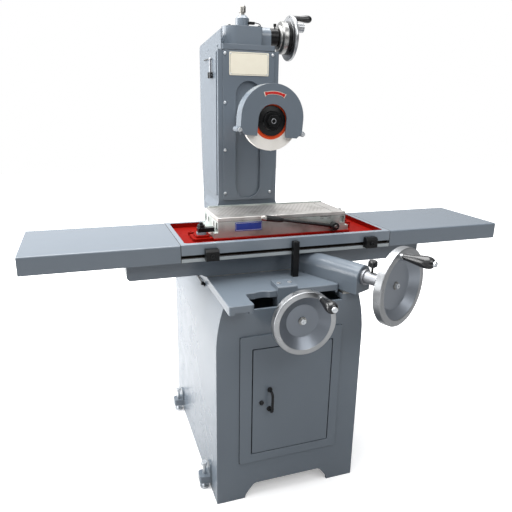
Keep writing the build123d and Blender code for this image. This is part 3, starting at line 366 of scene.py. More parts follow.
def inside_band(tree, own, reach, first, last, radius):
    """Mask of a groove round a wheel, between two places along its axis."""
    along = add(tree, "ShaderNodeSeparateXYZ", 2, {0: own})
    late = add(tree, "ShaderNodeMath", 0, {0: along, 1: mm(first)}, operation="GREATER_THAN")
    early = add(tree, "ShaderNodeMath", 0, {0: along, 1: mm(last)}, operation="LESS_THAN")
    near = add(tree, "ShaderNodeMath", 0, {0: reach, 1: mm(radius)}, operation="LESS_THAN")
    both = add(tree, "ShaderNodeMath", 0, {0: late, 1: early}, operation="MULTIPLY")
    return add(tree, "ShaderNodeMath", 0, {0: both, 1: near}, operation="MULTIPLY")


def black_oxide(name, colour=DEEP_BLACK, wear_and_glint_colour="#85878a"):
    """Steel blackened in hot salts and oiled.

    The eye sees a deep satin black, paler at the edges where grey steel wears through and
    where a painted highlight lies on them."""
    material, tree, place = start(name)
    soft, edge = edges(tree, 1.0)
    haze = add(tree, "ShaderNodeTexNoise", 0, {"Vector": place, "Scale": 1 / mm(14), "Detail": 5.0})
    tint = add(tree, "ShaderNodeMix", 2, {
        0: haze, 6: linear(colour), 7: linear(BLACKENED)}, data_type="RGBA")
    # Edges are mixed towards pale grey: steel wearing through, and a painted highlight
    wear_and_glint = add(tree, "ShaderNodeMath", 0, {0: edge, 1: haze}, operation="MULTIPLY")
    tint = add(tree, "ShaderNodeMix", 2, {0: wear_and_glint, 6: tint, 7: linear(wear_and_glint_colour)}, data_type="RGBA")
    gloss = add(tree, "ShaderNodeMapRange", 0, {
        "Value": haze, "From Min": 0.3, "From Max": 0.7, "To Min": 0.26, "To Max": 0.38})
    normal = add(tree, "ShaderNodeBump", 0, {
        "Strength": 0.15, "Distance": mm(0.15), "Height": haze, "Normal": soft})
    shader = add(tree, "ShaderNodeBsdfPrincipled", 0, {
        "Base Color": tint, "Metallic": 0.1, "Roughness": gloss, "Normal": normal,
        "Specular IOR Level": 0.25})
    return closed(material, tree, shader)


def phenolic():
    """Moulded phenolic handle.

    The eye sees a hard polished black with faint flow marks from the mould."""
    material, tree, place = start("phenolic, moulded black")
    flow = add(tree, "ShaderNodeTexNoise", 0, {"Vector": place, "Scale": 1 / mm(18), "Detail": 3.0})
    tint = add(tree, "ShaderNodeMix", 2, {
        0: flow, 6: linear("#0c0d0e"), 7: linear("#18191b")}, data_type="RGBA")
    gloss = add(tree, "ShaderNodeMapRange", 0, {
        "Value": flow, "From Min": 0.3, "From Max": 0.7, "To Min": 0.14, "To Max": 0.26})
    normal = add(tree, "ShaderNodeBump", 0, {"Strength": 0.1, "Distance": mm(0.3), "Height": flow})
    shader = add(tree, "ShaderNodeBsdfPrincipled", 0, {
        "Base Color": tint, "Roughness": gloss, "Normal": normal, "IOR": 1.6})
    return closed(material, tree, shader)


def zinc_plate():
    """Zinc-plated steel fastener.

    The eye sees a pale bluish metal with a soft crystalline haze."""
    material, tree, place = start("zinc-plated steel")
    soft = add(tree, "ShaderNodeBevel", 0, {"Radius": mm(0.6)}, samples=6)
    crystal = add(tree, "ShaderNodeTexVoronoi", 0, {"Vector": place, "Scale": 1 / mm(3)})
    tint = add(tree, "ShaderNodeMix", 2, {
        0: crystal, 6: linear("#e6e9ec"), 7: linear("#c6cacd")}, data_type="RGBA")
    gloss = add(tree, "ShaderNodeMapRange", 0, {"Value": crystal, "To Min": 0.3, "To Max": 0.46})
    shader = add(tree, "ShaderNodeBsdfPrincipled", 0, {
        "Base Color": tint, "Metallic": 1.0, "Roughness": gloss, "Normal": soft})
    return closed(material, tree, shader)


def pole_plate():
    """Ground pole plate of the chuck, with its poles let in as a field of small studs.

    The eye sees a warm grey satin face, dotted in staggered rows and stained by coolant, with a
    row of short dark dashes near its right end and a dark seam under it."""
    material, tree, place = start("pole plate, ground steel and brass")
    (left, front, _), (right, back, high) = CHUCK
    tint, gloss, normal = cut_metal(tree, place, "#cbc8c4", "#b0ada8", (0.05, 1, 1), 0.42)
    # Poles are about 4 mm across and 8 mm apart, and are drawn at twice that so that they show
    slanted = add(tree, "ShaderNodeVectorRotate", 0, {
        "Vector": place, "Axis": (0, 0, 1), "Angle": radians(30)}, rotation_type="AXIS_ANGLE")
    first = add(tree, "ShaderNodeTexWave", 1, {"Vector": slanted, "Scale": WAVE / mm(14)})
    second = add(tree, "ShaderNodeTexWave", 1, {
        "Vector": slanted, "Scale": WAVE / mm(14)}, bands_direction="Y")
    stud = add(tree, "ShaderNodeMath", 0, {0: first, 1: second}, operation="MULTIPLY")
    stud = add(tree, "ShaderNodeMapRange", 0, {
        "Value": stud, "From Min": 0.45, "From Max": 0.65, "To Min": 0.0, "To Max": 0.45})
    field = inside(
        tree, place, (left + 24, front + 34, high - 2), (right - 70, back - 20, high + 2))
    stud = add(tree, "ShaderNodeMath", 0, {0: stud, 1: field}, operation="MULTIPLY")
    tint = add(tree, "ShaderNodeMix", 2, {0: stud, 6: tint, 7: linear("#6d6455")}, data_type="RGBA")
    rule = add(tree, "ShaderNodeTexWave", 1, {
        "Vector": place, "Scale": WAVE / mm(18)}, bands_direction="Y")
    rule = add(tree, "ShaderNodeMath", 0, {0: rule, 1: 0.45}, operation="GREATER_THAN")
    track = inside(
        tree, place, (right - 50, front + 12, high - 2), (right - 46, back - 12, high + 2))
    rule = add(tree, "ShaderNodeMath", 0, {0: rule, 1: track}, operation="MULTIPLY")
    seam = inside(
        tree, place, (left - 1, front - 1, high - 15.2), (right + 1, back + 1, high - 12.6))
    dark = add(tree, "ShaderNodeMath", 0, {0: rule, 1: seam}, operation="MAXIMUM")
    tint = add(tree, "ShaderNodeMix", 2, {0: dark, 6: tint, 7: linear("#3a352f")}, data_type="RGBA")
    shader = add(tree, "ShaderNodeBsdfPrincipled", 0, {
        "Base Color": tint, "Metallic": 1.0, "Roughness": gloss, "Normal": normal})
    return closed(material, tree, shader)


def alumina():
    """Vitrified white alumina wheel.

    The eye sees a chalky off-white with a sandy sparkle of grit."""
    material, tree, place = start("white alumina, vitrified")
    # Grit is about 0.35 mm, and is drawn at 1.8 mm so that it shows
    grit = add(tree, "ShaderNodeTexVoronoi", 0, {"Vector": place, "Scale": 1 / mm(1.8)})
    cloud = add(tree, "ShaderNodeTexNoise", 0, {
        "Vector": place, "Scale": 1 / mm(40), "Detail": 3.0})
    tint = add(tree, "ShaderNodeMix", 2, {
        0: cloud, 6: linear("#f1eee8"), 7: linear("#e6e1d9")}, data_type="RGBA")
    speck = add(tree, "ShaderNodeMapRange", 0, {
        "Value": grit, "From Min": 0.1, "From Max": 0.45, "To Min": 0.3, "To Max": 0.0})
    tint = add(tree, "ShaderNodeMix", 2, {
        0: speck, 6: tint, 7: linear("#c4bcb1")}, data_type="RGBA")
    normal = add(tree, "ShaderNodeBump", 0, {"Strength": 0.5, "Distance": mm(0.3), "Height": grit})
    shader = add(tree, "ShaderNodeBsdfPrincipled", 0, {
        "Base Color": tint, "Roughness": 0.88, "Normal": normal, "IOR": 1.6})
    return closed(material, tree, shader)


def blotter_paper():
    """Blotting paper disc printed solid orange.

    The eye sees a flat soft orange with mottled fibres."""
    material, tree, place = start("blotting paper, orange")
    # Fibres are under 1 mm, and are drawn at 3 mm so that they show
    fibre = add(tree, "ShaderNodeTexNoise", 0, {"Vector": place, "Scale": 1 / mm(3), "Detail": 5.0})
    tint = add(tree, "ShaderNodeMix", 2, {
        0: fibre, 6: linear("#e2501a"), 7: linear("#cc3d12")}, data_type="RGBA")
    normal = add(tree, "ShaderNodeBump", 0, {
        "Strength": 0.4, "Distance": mm(0.15), "Height": fibre})
    shader = add(tree, "ShaderNodeBsdfPrincipled", 0, {
        "Base Color": tint, "Roughness": 0.9, "Normal": normal})
    return closed(material, tree, shader)


def stoved_plate(name, colour, shade):
    """Aluminium plate with a stoved colour, left without any print.

    The eye sees an even satin colour with a slight mottle and a bright cut edge."""
    material, tree, place = start(name)
    soft, edge = edges(tree, 0.5)
    mottle = add(tree, "ShaderNodeTexNoise", 0, {
        "Vector": place, "Scale": 1 / mm(25), "Detail": 4.0})
    tint = add(tree, "ShaderNodeMix", 2, {
        0: mottle, 6: linear(colour), 7: linear(shade)}, data_type="RGBA")
    pale_edge = add(tree, "ShaderNodeMath", 0, {0: edge, 1: 0.6}, operation="MULTIPLY")
    tint = add(tree, "ShaderNodeMix", 2, {0: pale_edge, 6: tint, 7: linear("#d9d9d6")}, data_type="RGBA")
    gloss = add(tree, "ShaderNodeMapRange", 0, {
        "Value": mottle, "From Min": 0.3, "From Max": 0.7, "To Min": 0.32, "To Max": 0.46})
    shader = add(tree, "ShaderNodeBsdfPrincipled", 0, {
        "Base Color": tint, "Roughness": gloss, "Normal": soft, "IOR": 1.5})
    return closed(material, tree, shader)


def lever_steel():
    """Blackened lever with bare steel showing through at the end of its grip.

    The eye sees a dull mottled black rod with one bright end."""
    material, tree, place = start("lever, black oxide and bare grip")
    x, y, z = LEVER
    grip = inside(tree, place, (x - 320, y - 30, z - 60), (x - 279, y + 30, z + 90))
    steel = cut_metal(tree, place, "#b4b1ac", "#827e78", (1, 1, 0.2), 0.3)
    haze = add(tree, "ShaderNodeTexNoise", 0, {"Vector": place, "Scale": 1 / mm(14), "Detail": 5.0})
    black = add(tree, "ShaderNodeMix", 2, {
        0: haze, 6: linear(DEEP_BLACK), 7: linear("#2b2b2c")}, data_type="RGBA")
    tint = add(tree, "ShaderNodeMix", 2, {0: grip, 6: black, 7: steel[0]}, data_type="RGBA")
    metal = add(tree, "ShaderNodeMix", 0, {0: grip, 2: 0.35, 3: 1.0})
    shader = add(tree, "ShaderNodeBsdfPrincipled", 0, {
        "Base Color": tint, "Metallic": metal, "Roughness": steel[1], "Normal": steel[2]})
    return closed(material, tree, shader)


def frame_seams():
    """Places of the painted shade lines on the cabinet's front round the raised frame of the door.
    """
    left, right, low, high = DOOR_FRAME
    upright = [((x - 1.3, -0.5, low - 1.3), (x + 1.3, 0.5, high)) for x in (left, right)]
    return upright + [((left, -0.5, low - 1.6), (right, 0.5, low + 1.6))]


def end_joints():
    """Places of the dark joints between the table and the covers at its ends."""
    (left, front, low), (right, back, high) = TABLE
    return [((x - 1.2, front - 1, low - 1), (x + 1.2, back + 1, high + 1)) for x in (left, right)]


def chuck_slots():
    """Places where both ends of the chuck are painted black as shade in their slots and screw
    holes, a little past their edges.
    """
    (left, front, _), (right, back, _) = CHUCK
    row = 946
    middles = [(front + 17, 8), (back - 17, 8), (front + 60, 6), (back - 60, 6)]
    return [((x - 7, y - half, row - half * 1.6), (x + 7, y + half, row + half * 1.6))
            for x in (left, right) for y, half in middles]


CASTING = machine_enamel("machine enamel on filled iron", 0.14)
CABINET = machine_enamel("cabinet enamel, flatted smooth", 0.03)
SHEET = machine_enamel("machine enamel on steel sheet", 0.12)
# The slot shield's enamel is made lighter than the rest to offset its shade: painted light
SHIELD = machine_enamel("shield enamel, lightened as painted light", 0.12, "#6f7881", "#6a737c")
# The dark lines round the raised door frame are painted shade
FRONT_PLATE = partly_machined(
    "front enamel with painted shade round the door frame", seams_and_shade=frame_seams())
COVER_SHEET = partly_machined("cover enamel with dark end joints", seams_and_shade=end_joints())
BED_IRON = partly_machined("bed enamel with scraped ways", BED_WAYS)
BEAM_IRON = partly_machined(
    "beam enamel with scraped ways and a painted highlight line", [BEAM_WAYS, BEAM_JOINT_HIGHLIGHT])
LATCH_PANEL = partly_machined(
    "panel enamel with a black latch foot", seams_and_shade=[LATCH_FOOT, LATCH_STAPLE])
CUP_CAP = partly_machined("cap enamel with a bare oil cup", [OIL_CUP])
TRAY = tray_enamel()
STEEL = machined("turned steel, oiled", "#a09f9c", "#7c7973", (1, 1, 0.15), 0.34)
SATIN_STEEL = machined("sleeve, satin steel", "#a2a4a8", "#8b8c8f", (1, 1, 0.15), 0.5)
SCRAPED = machined("scraped iron", IRON, IRON_STAIN, (0.1, 1, 1), 0.34)
CHUCK_STEEL = machined(
    "chuck body, ground steel", "#bfc6c2", "#9ca39f", (0.06, 1, 1), 0.55, chuck_slots())
POLES = pole_plate()
BRONZE = machined("bearing bronze", "#b08a4a", "#80602f", (1, 0.2, 1), 0.32)
DIAL_ALLOY = machined("dial, satin chrome", "#989896", "#838381", (0.2, 1, 1), 0.3)
BLACK = black_oxide("black oxide steel")
HANDLE_STEEL = black_oxide("door handle, black nickel", "#1d1e20", "#9a9b9d")
# Black sheet behind the door gap, painted shade
GAP_BLACK = black_oxide("black sheet behind the door gap, painted shade", "#0b0b0c", "#161617")
GRIP_PLASTIC = phenolic()
ZINC = zinc_plate()
WHITE_WHEEL = alumina()
BLOTTER = blotter_paper()
CREAM = stoved_plate("blank plate, stoved cream", "#ece6d4", "#e4ddc9")
BLUE = stoved_plate("blank plate, stoved blue", "#1d3a97", "#18307f")
PALE_INK = stoved_plate("plate border, stoved white", "#e4e6ea", "#d8dade")
RED_INK = stoved_plate("blank label, stoved red", "#bf1713", "#a81210")
DARK_INK = stoved_plate("engraving, filled black", "#1b1b1c", "#252526")
LEVER_STEEL = lever_steel()
CROSS_ALLOY = wheel_alloy("crossfeed wheel, polished aluminium", CROSS_HUB, (pi / 2, 0, 0), 86)
# The traverse wheel's dish uses a lighter copy of the same dish paint: painted light
TRAVERSE_ALLOY = wheel_alloy(
    "traverse wheel, polished aluminium", TRAVERSE_HUB, (pi / 2, 0, SKEW), 108, "#8a9098")
ELEVATING_ALLOY = wheel_alloy(
    "elevating wheel, polished aluminium", ELEVATING_HUB, (0, pi / 2, 0), 0, GREY,
    ELEVATING_GROOVE)

FINISHES = {
    FRONT_PLATE: "base_front_plate",
    CABINET: "base_shell",
    CASTING: "door_frame column cap_plate saddle_shelf crossfeed_bracket "
             "traverse_housing spindle_housing guard_front guard_rear gear_housing",
    SHEET: "door front_cover rear_hood",
    SHIELD: "slot_shield",
    COVER_SHEET: "table_guards",
    BED_IRON: "bed",
    BEAM_IRON: "saddle_beam",
    TRAY: "table",
    LATCH_PANEL: "side_panel",
    CUP_CAP: "screw_cap",
    STEEL: "crossfeed_screw traverse_shaft spindle_shaft spindle_bearings elevating_screw "
           "elevating_shaft",
    SATIN_STEEL: "traverse_sleeve latch_lever",
    SCRAPED: "rack head_carrier",
    BRONZE: "crossfeed_nut",
    CHUCK_STEEL: "chuck_body",
    POLES: "chuck_top",
    DIAL_ALLOY: "elevating_dial",
    BLACK: "stop_post chuck_clamps left_dog right_dog wheel_flanges spindle_nut shaft_collar "
           "crossfeed_dial",
    LEVER_STEEL: "chuck_lever",
    HANDLE_STEEL: "door_handle door_latch",
    GRIP_PLASTIC: "crossfeed_grip traverse_grip elevating_grip traverse_lock",
    ZINC: "levelling_bolts cover_screws guard_bolts",
    WHITE_WHEEL: "grinding_wheel",
    BLOTTER: "blotters",
    CREAM: "blank_plate",
    CROSS_ALLOY: "crossfeed_wheel",
    TRAVERSE_ALLOY: "traverse_wheel",
    ELEVATING_ALLOY: "elevating_wheel",
}
for material, names in FINISHES.items():
    for name in names.split():
        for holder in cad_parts[name].material_slots:
            holder.material = material


# Small pieces

def carried(obj, body):
    """Links an object into the scene and hangs it on a body of the machine."""
    bpy.context.scene.collection.objects.link(obj)
    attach(obj, body)


def piece(name, shape, material, body):
    """Object from vertices and faces in metres, carried by a body of the machine."""
    mesh = bpy.data.meshes.new(name)
    mesh.from_pydata(shape[0], [], shape[1])
    mesh.validate()
    mesh.shade_smooth()
    mesh.set_sharp_from_angle(angle=radians(35))
    mesh.materials.append(material)
    carried(bpy.data.objects.new(name, mesh), body)


def bent_wire(name, stations, radius, material, body):
    """Rigid bent wire or pipe through places on the machine."""
    line = bpy.data.curves.new(name, "CURVE")
    line.dimensions = "3D"
    line.bevel_depth = mm(radius)
    line.bevel_resolution = 3
    line.use_fill_caps = True
    spline = line.splines.new("NURBS")
    spline.points.add(len(stations) - 1)
    for point, station in zip(spline.points, stations):
        point.co = (*at(*station), 1)
    spline.order_u = 3
    spline.use_endpoint_u = True
    line.materials.append(material)
    carried(bpy.data.objects.new(name, line), body)


def joined(shapes):
    """Several shapes as one."""
    points, faces = [], []
    for own_points, own_faces in shapes:
        first = len(points)
        points += own_points
        faces += [[first + i for i in face] for face in own_faces]
    return points, faces


def frame_at(place, axis):
    """Matrix whose Z runs along an axis, from a place in millimetres."""
    z = Vector(axis).normalized()
    x = UP.cross(z)
    x = x.normalized() if x.length > 1e-6 else TO_RIGHT
    turn = Matrix((x, z.cross(x), z)).transposed().to_4x4()
    return Matrix.Translation(at(*place)) @ turn


def turned(matrix, profile, steps=32, flats=()):
    """Body turned about Z from pairs of radius and height; the rows in flats are hexagons."""
    rows = []
    for row, (radius, height) in enumerate(profile):
        ring = []
        for step in range(steps if radius else 1):
            angle = 2 * pi * step / steps
            reach = radius
            if row in flats:
                reach = radius / cos((angle + pi / 6) % (pi / 3) - pi / 6)
            ring.append(matrix @ (Vector((reach * cos(angle), reach * sin(angle), height)) / 1000))
        rows.append(ring)
    points = [point for ring in rows for point in ring]
    starts = [sum(len(ring) for ring in rows[:row]) for row in range(len(rows))]
    faces = []
    for row in range(len(rows) - 1):
        low, high = starts[row], starts[row + 1]
        for step in range(steps):
            after = (step + 1) % steps
            if len(rows[row + 1]) == 1:
                faces.append([low + step, low + after, high])
            else:
                faces.append([low + step, low + after, high + after, high + step])
    return points, faces


def socket_screw(place, axis, radius, height, key):
    """Cap screw head with a chamfered rim and a hexagon socket."""
    profile = [(radius, 0), (radius, height - 0.8), (radius - 0.8, height), (key / 2, height)]
    profile += [(key / 2, height * 0.4), (0, height * 0.4)]
    return turned(frame_at(place, axis), profile, 24, (3, 4))


def dome_screw(place, axis, radius, height):
    """Domed head with a rounded rim."""
    profile = [(radius, 0), (radius, height * 0.25), (radius * 0.8, height * 0.7)]
    profile += [(radius * 0.45, height * 0.95), (0, height)]
    return turned(frame_at(place, axis), profile, 24)


def plate(matrix, outline, thickness, bevel=0.2):
    """Flat plate from an outline in millimetres, with a small chamfer on its front."""
    middle = Vector((sum(x for x, y in outline), sum(y for x, y in outline))) / len(outline)
    rows = []
    for inset, height in ((0, 0), (0, thickness - bevel), (bevel, thickness)):
        ring = []
        for x, y in outline:
            inward = middle - Vector((x, y))
            moved = Vector((x, y)) + inward.normalized() * inset
            ring.append(matrix @ (Vector((moved.x, moved.y, height)) / 1000))
        rows.append(ring)
    count = len(outline)
    points = [point for ring in rows for point in ring]
    faces = [list(range(2 * count, 3 * count))]
    for row in (0, count):
        for step in range(count):
            after = (step + 1) % count
            faces.append([row + step, row + after, row + count + after, row + count + step])
    return points, faces


def rounded(left, right, low, high, radius):
    """Outline of a rectangle with round corners."""
    steps = 5
    outline = []
    corners = ((right, high, 0), (left, high, 90), (left, low, 180), (right, low, 270))
    for x, y, turn in corners:
        centre = (x - radius * (1 if x == right else -1), y - radius * (1 if y == high else -1))
        for step in range(steps + 1):
            angle = radians(turn + 90 * step / steps)
            outline.append((centre[0] + radius * cos(angle), centre[1] + radius * sin(angle)))
    return outline


def border(matrix, left, right, low, high, radius, width, height):
    """Raised line round a plate."""
    outer = rounded(left, right, low, high, radius)
    corner = max(radius - width, 0.2)
    inner = rounded(left + width, right - width, low + width, high - width, corner)
    count = len(outer)
    rows = [(outer, 0), (outer, height), (inner, height), (inner, 0)]
    points = [matrix @ (Vector((x, y, z)) / 1000) for ring, z in rows for x, y in ring]
    faces = []
    for row in range(3):
        for step in range(count):
            after = (step + 1) % count
            low_row, high_row = row * count, (row + 1) * count
            faces.append([low_row + step, low_row + after, high_row + after, high_row + step])
    return points, faces


def strip(matrix, outline, thickness):
    """Curved strip, given its outer edge and then its inner edge backwards."""
    count = len(outline)
    half = count // 2
    points = [matrix @ (Vector((x, y, z)) / 1000) for z in (0, thickness) for x, y in outline]
    faces = []
    for step in range(half - 1):
        faces.append([count + step, count + step + 1, 2 * count - 2 - step, 2 * count - 1 - step])
    for step in range(count):
        after = (step + 1) % count
        faces.append([step, after, count + after, count + step])
    return points, faces


def figures(text, size):
    """Flat figures about their middle, in millimetres."""
    letters = bpy.data.curves.new("figures", "FONT")
    letters.body = text
    letters.size = size
    letters.align_x = "CENTER"
    letters.align_y = "CENTER"
    letters.resolution_u = 3
    letters.extrude = 0.15
    holder = bpy.data.objects.new("figures", letters)
    mesh = bpy.data.meshes.new_from_object(holder)
    shape = [tuple(v.co) for v in mesh.vertices], [list(p.vertices) for p in mesh.polygons]
    bpy.data.objects.remove(holder)
    bpy.data.curves.remove(letters)
    bpy.data.meshes.remove(mesh)
    return shape


def laid(matrix, shape):
    """Figures laid on a plane."""
    return [matrix @ (Vector(p) / 1000) for p in shape[0]], shape[1]


def graduations(hub, axis, radius, edge, toward, count, size):
    """Engraved lines and figures round a dial."""
    across = axis.cross(UP)
    shapes = []
    for step in range(count):
        angle = 2 * pi * step / count
        out = UP * cos(angle) + across * sin(angle)
        side = across * cos(angle) - UP * sin(angle)
        length = size * (1.5 if step % 10 == 0 else 1.15 if step % 5 == 0 else 0.8)
        turn = Matrix((side, axis * toward, out)).transposed().to_4x4()
        matrix = Matrix.Translation(at(*hub) + (axis * edge + out * radius) / 1000) @ turn
        line = [(-0.3, 0), (0.3, 0), (0.3, length), (-0.3, length)]
        shapes.append(plate(matrix, line, 0.15, 0.05))
        if step % 10 == 0:
            mark = figures(str(step), size * 1.1)
            if toward < 0:
                mark = [(-x, -y, z) for x, y, z in mark[0]], mark[1]
            shapes.append(laid(matrix @ Matrix.Translation((0, mm(size * 2.4), 0)), mark))
    return joined(shapes)


def bracket_screws():
    """Two flush cap screws that hold the crossfeed bracket on the shelf."""
    x = CROSS_HUB[0]
    shapes = [socket_screw((x + side * 20, 47, BRACKET_TOP), UP, 7.5, 2.6, 7) for side in (-1, 1)]
    piece("bracket_screws", joined(shapes), SATIN_STEEL, "saddle")


def oil_line():
    """Oil nipple on the bed's shoulder and the thin steel pipe that feeds it."""
    base = (-240.5, 248, 738)
    profile = [(7, -4), (7, 3), (5, 4), (5, 9), (7.5, 10), (7.5, 15), (4, 18), (0, 18)]
    nipple = turned(frame_at(base, (-0.8, 0, 0.6)), profile, 24)
    piece("oil_nipple", nipple, BLACK, "base")
    stations = [(-247, 250, 742), (-249, 285, 743), (-246, 330, 741)]
    stations += [(-245, 402, 738), (-236, 440, 736)]
    bent_wire("oil_pipe", stations, 2.2, BLACK, "base")


def handle_tips():
    """Polished screw heads at the ends of the two large handles."""
    profile = [(9, -9), (9, 3), (7.8, 4.5), (3.2, 4.5), (3.2, 2.5), (0, 2.5)]
    crank = (TO_RIGHT * cos(CROSS_TURN) + UP * sin(CROSS_TURN)) * CROSS_CRANK
    end = Vector(CROSS_HUB) + crank + TO_FRONT * CROSS_GRIP
    tip = turned(frame_at(end, TO_FRONT), profile)
    piece("crossfeed_tip", tip, ZINC, "crossfeed_grip")
    crank = (TRAVERSE_SIDE * cos(TRAVERSE_TURN) + UP * sin(TRAVERSE_TURN)) * TRAVERSE_CRANK
    end = Vector(TRAVERSE_HUB) + crank + TRAVERSE_AXIS * TRAVERSE_GRIP
    tip = turned(frame_at(end, TRAVERSE_AXIS), profile)
    piece("traverse_tip", tip, ZINC, "traverse_grip")


def hub_screws():
    """Socket screws on washers that hold the two large handwheels, and the lever's own screw."""
    cross = Vector(CROSS_HUB) + TO_FRONT * WASHER_FACE
    screw = socket_screw(cross, TO_FRONT, 9, 7, 7)
    piece("crossfeed_hub_screw", screw, ZINC, "crossfeed")
    traverse = Vector(TRAVERSE_HUB) + TRAVERSE_AXIS * WASHER_FACE
    screw = socket_screw(traverse, TRAVERSE_AXIS, 9, 7, 7)
    piece("traverse_hub_screw", screw, ZINC, "traverse")
    screw = socket_screw(LEVER, TO_FRONT, 6, 2.5, 5)
    piece("lever_screw", screw, STEEL, "chuck_lever")


def nut_ring():
    """Bright ring turned round the key socket of the spindle nut."""
    x, _, z = SPINDLE
    profile = [(8.7, 0), (8.4, 0.4), (7.0, 0.4), (6.7, 0)]
    ring = turned(frame_at((x, NUT_FACE, z), TO_FRONT), profile)
    piece("spindle_nut_ring", ring, SATIN_STEEL, "spindle")


def chuck_marks():
    """Bare blue plate and the switch marks of the chuck."""
    front = CHUCK[0][1]
    left, right, low, high = BLUE_PLATE
    face = frame_at((0, front, 0), TO_FRONT)
    blue = plate(face, rounded(left, right, low, high, 3), 0.9)
    piece("chuck_plate", blue, BLUE, "table")
    on_top = frame_at((0, front - 0.85, 0), TO_FRONT)
    line = border(on_top, left + 2.5, right - 2.5, low + 2.5, high - 2.5, 2, 0.9, 0.15)
    piece("chuck_plate_border", line, PALE_INK, "table")
    shapes = [plate(face, rounded(204, 252, 961.5, 963.5, 0.9), 0.25, 0.1)]
    for word, x in (("ON", 212), ("OFF", 243)):
        shapes.append(laid(frame_at((x, front - 0.1, 955), TO_FRONT), figures(word, 9)))
    piece("chuck_switch_marks", joined(shapes), DARK_INK, "table")


def flared(reach, half):
    """Outline of a band bent round the spindle, wider near both ends."""
    radius, steps = 92, 24
    turns = [reach * (2 * step / steps - 1) for step in range(steps + 1)]
    wide = [half + 9 * max(0, abs(turn) / reach - 0.75) for turn in turns]
    outer, inner = [
        [((radius + side * w) * sin(radians(t)), (radius + side * w) * cos(radians(t)))
         for t, w in zip(turns, wide)] for side in (1, -1)]
    return outer + inner[::-1]


def guard_label():
    """Bare red label with a cream edge over the wheel."""
    x, y, z = SPINDLE
    swing = Matrix.Rotation(-GUARD_TURN, 4, "Z")
    for name, material, reach, half, lift in (
            ("label_edge", CREAM, 24, 5.4, 0), ("label_field", RED_INK, 22.6, 4.2, 0.45)):
        face = frame_at((x, y - lift, z), TO_FRONT) @ swing
        piece(name, strip(face, flared(reach, half), 0.5), material, "head")


def door_seal():
    """Black sheet round the door opening, seen through the gap beside the door as painted shade."""
    left, right, low, high = DOOR
    strip_face = frame_at((0, GAP_SHADE_DEPTH, 0), TO_FRONT)
    ring = border(strip_face, left - 6, right + 7, low - 6, high + 6, 1, 9, 1.5)
    piece("door_seal", ring, GAP_BLACK, "base")


def plate_rivets():
    """Rivets and a thin border on the bare cream plate of the column."""
    left, right, low, high = CREAM_BORDER
    places = [(x, z) for x in (left + 2.5, right - 2.5) for z in (low + 2.5, high - 2.5)]
    rivets = [dome_screw((x, CREAM_FRONT, z), TO_FRONT, 2.6, 1.4) for x, z in places]
    piece("plate_rivets", joined(rivets), ZINC, "base")
    line = border(frame_at((0, CREAM_FRONT, 0), TO_FRONT), left, right, low, high, 3, 0.9, 0.12)
    piece("plate_border", line, DARK_INK, "base")


def dial_marks():
    """Engraved divisions of the crossfeed and elevating dials."""
    cross = graduations(CROSS_HUB, TO_FRONT, CROSS_DIAL, edge=-88, toward=-1, count=50, size=3)
    piece("crossfeed_divisions", cross, PALE_INK, "crossfeed")
    lift = graduations(
        ELEVATING_HUB, TO_RIGHT, ELEVATING_DRUM, edge=157, toward=1, count=100, size=4.5)
    piece("elevating_divisions", lift, DARK_INK, "elevating_shaft")


def case_fittings():
    """Screws of the gear case, and the black clip and wire that lock its cap."""
    y = ELEVATING_HUB[1]
    places = [(-60, y - 30), (-60, y + 30), (54, y - 44), (54, y + 44)]
    screws = [socket_screw((px, py, CASE_TOP), UP, 5, 4, 4) for px, py in places]
    piece("case_screws", joined(screws), BLACK, "base")
    clip = plate(frame_at((0, y - 20, 0), TO_FRONT), rounded(16, 42, 1654, 1664, 3), 9, 1)
    piece("cap_clip", clip, BLACK, "base")
    wire = [(40, y - 24, 1661), (58, y - 24, 1660), (69, y - 24, 1652), (62, y - 24, 1641)]
    bent_wire("cap_wire", wire, 1.6, BLACK, "base")


def hood_screws():
    """Small screws of the rear hood, painted over with it."""
    screws = [dome_screw((-HOOD_SIDE, 560, 1572), (-1, 0, 0), 5, 3)]
    for side in (-1, 1):
        for z in (1010, 1150, 1290, 1430, 1570):
            screws.append(dome_screw((side * HOOD_SIDE, 712, z), (side, 0, 0), 4, 2))
    piece("hood_screws", joined(screws), SHEET, "base")


bracket_screws()
oil_line()
handle_tips()
hub_screws()
nut_ring()
chuck_marks()
guard_label()
door_seal()
plate_rivets()
dial_marks()
case_fittings()
hood_screws()


# Floor, light and camera

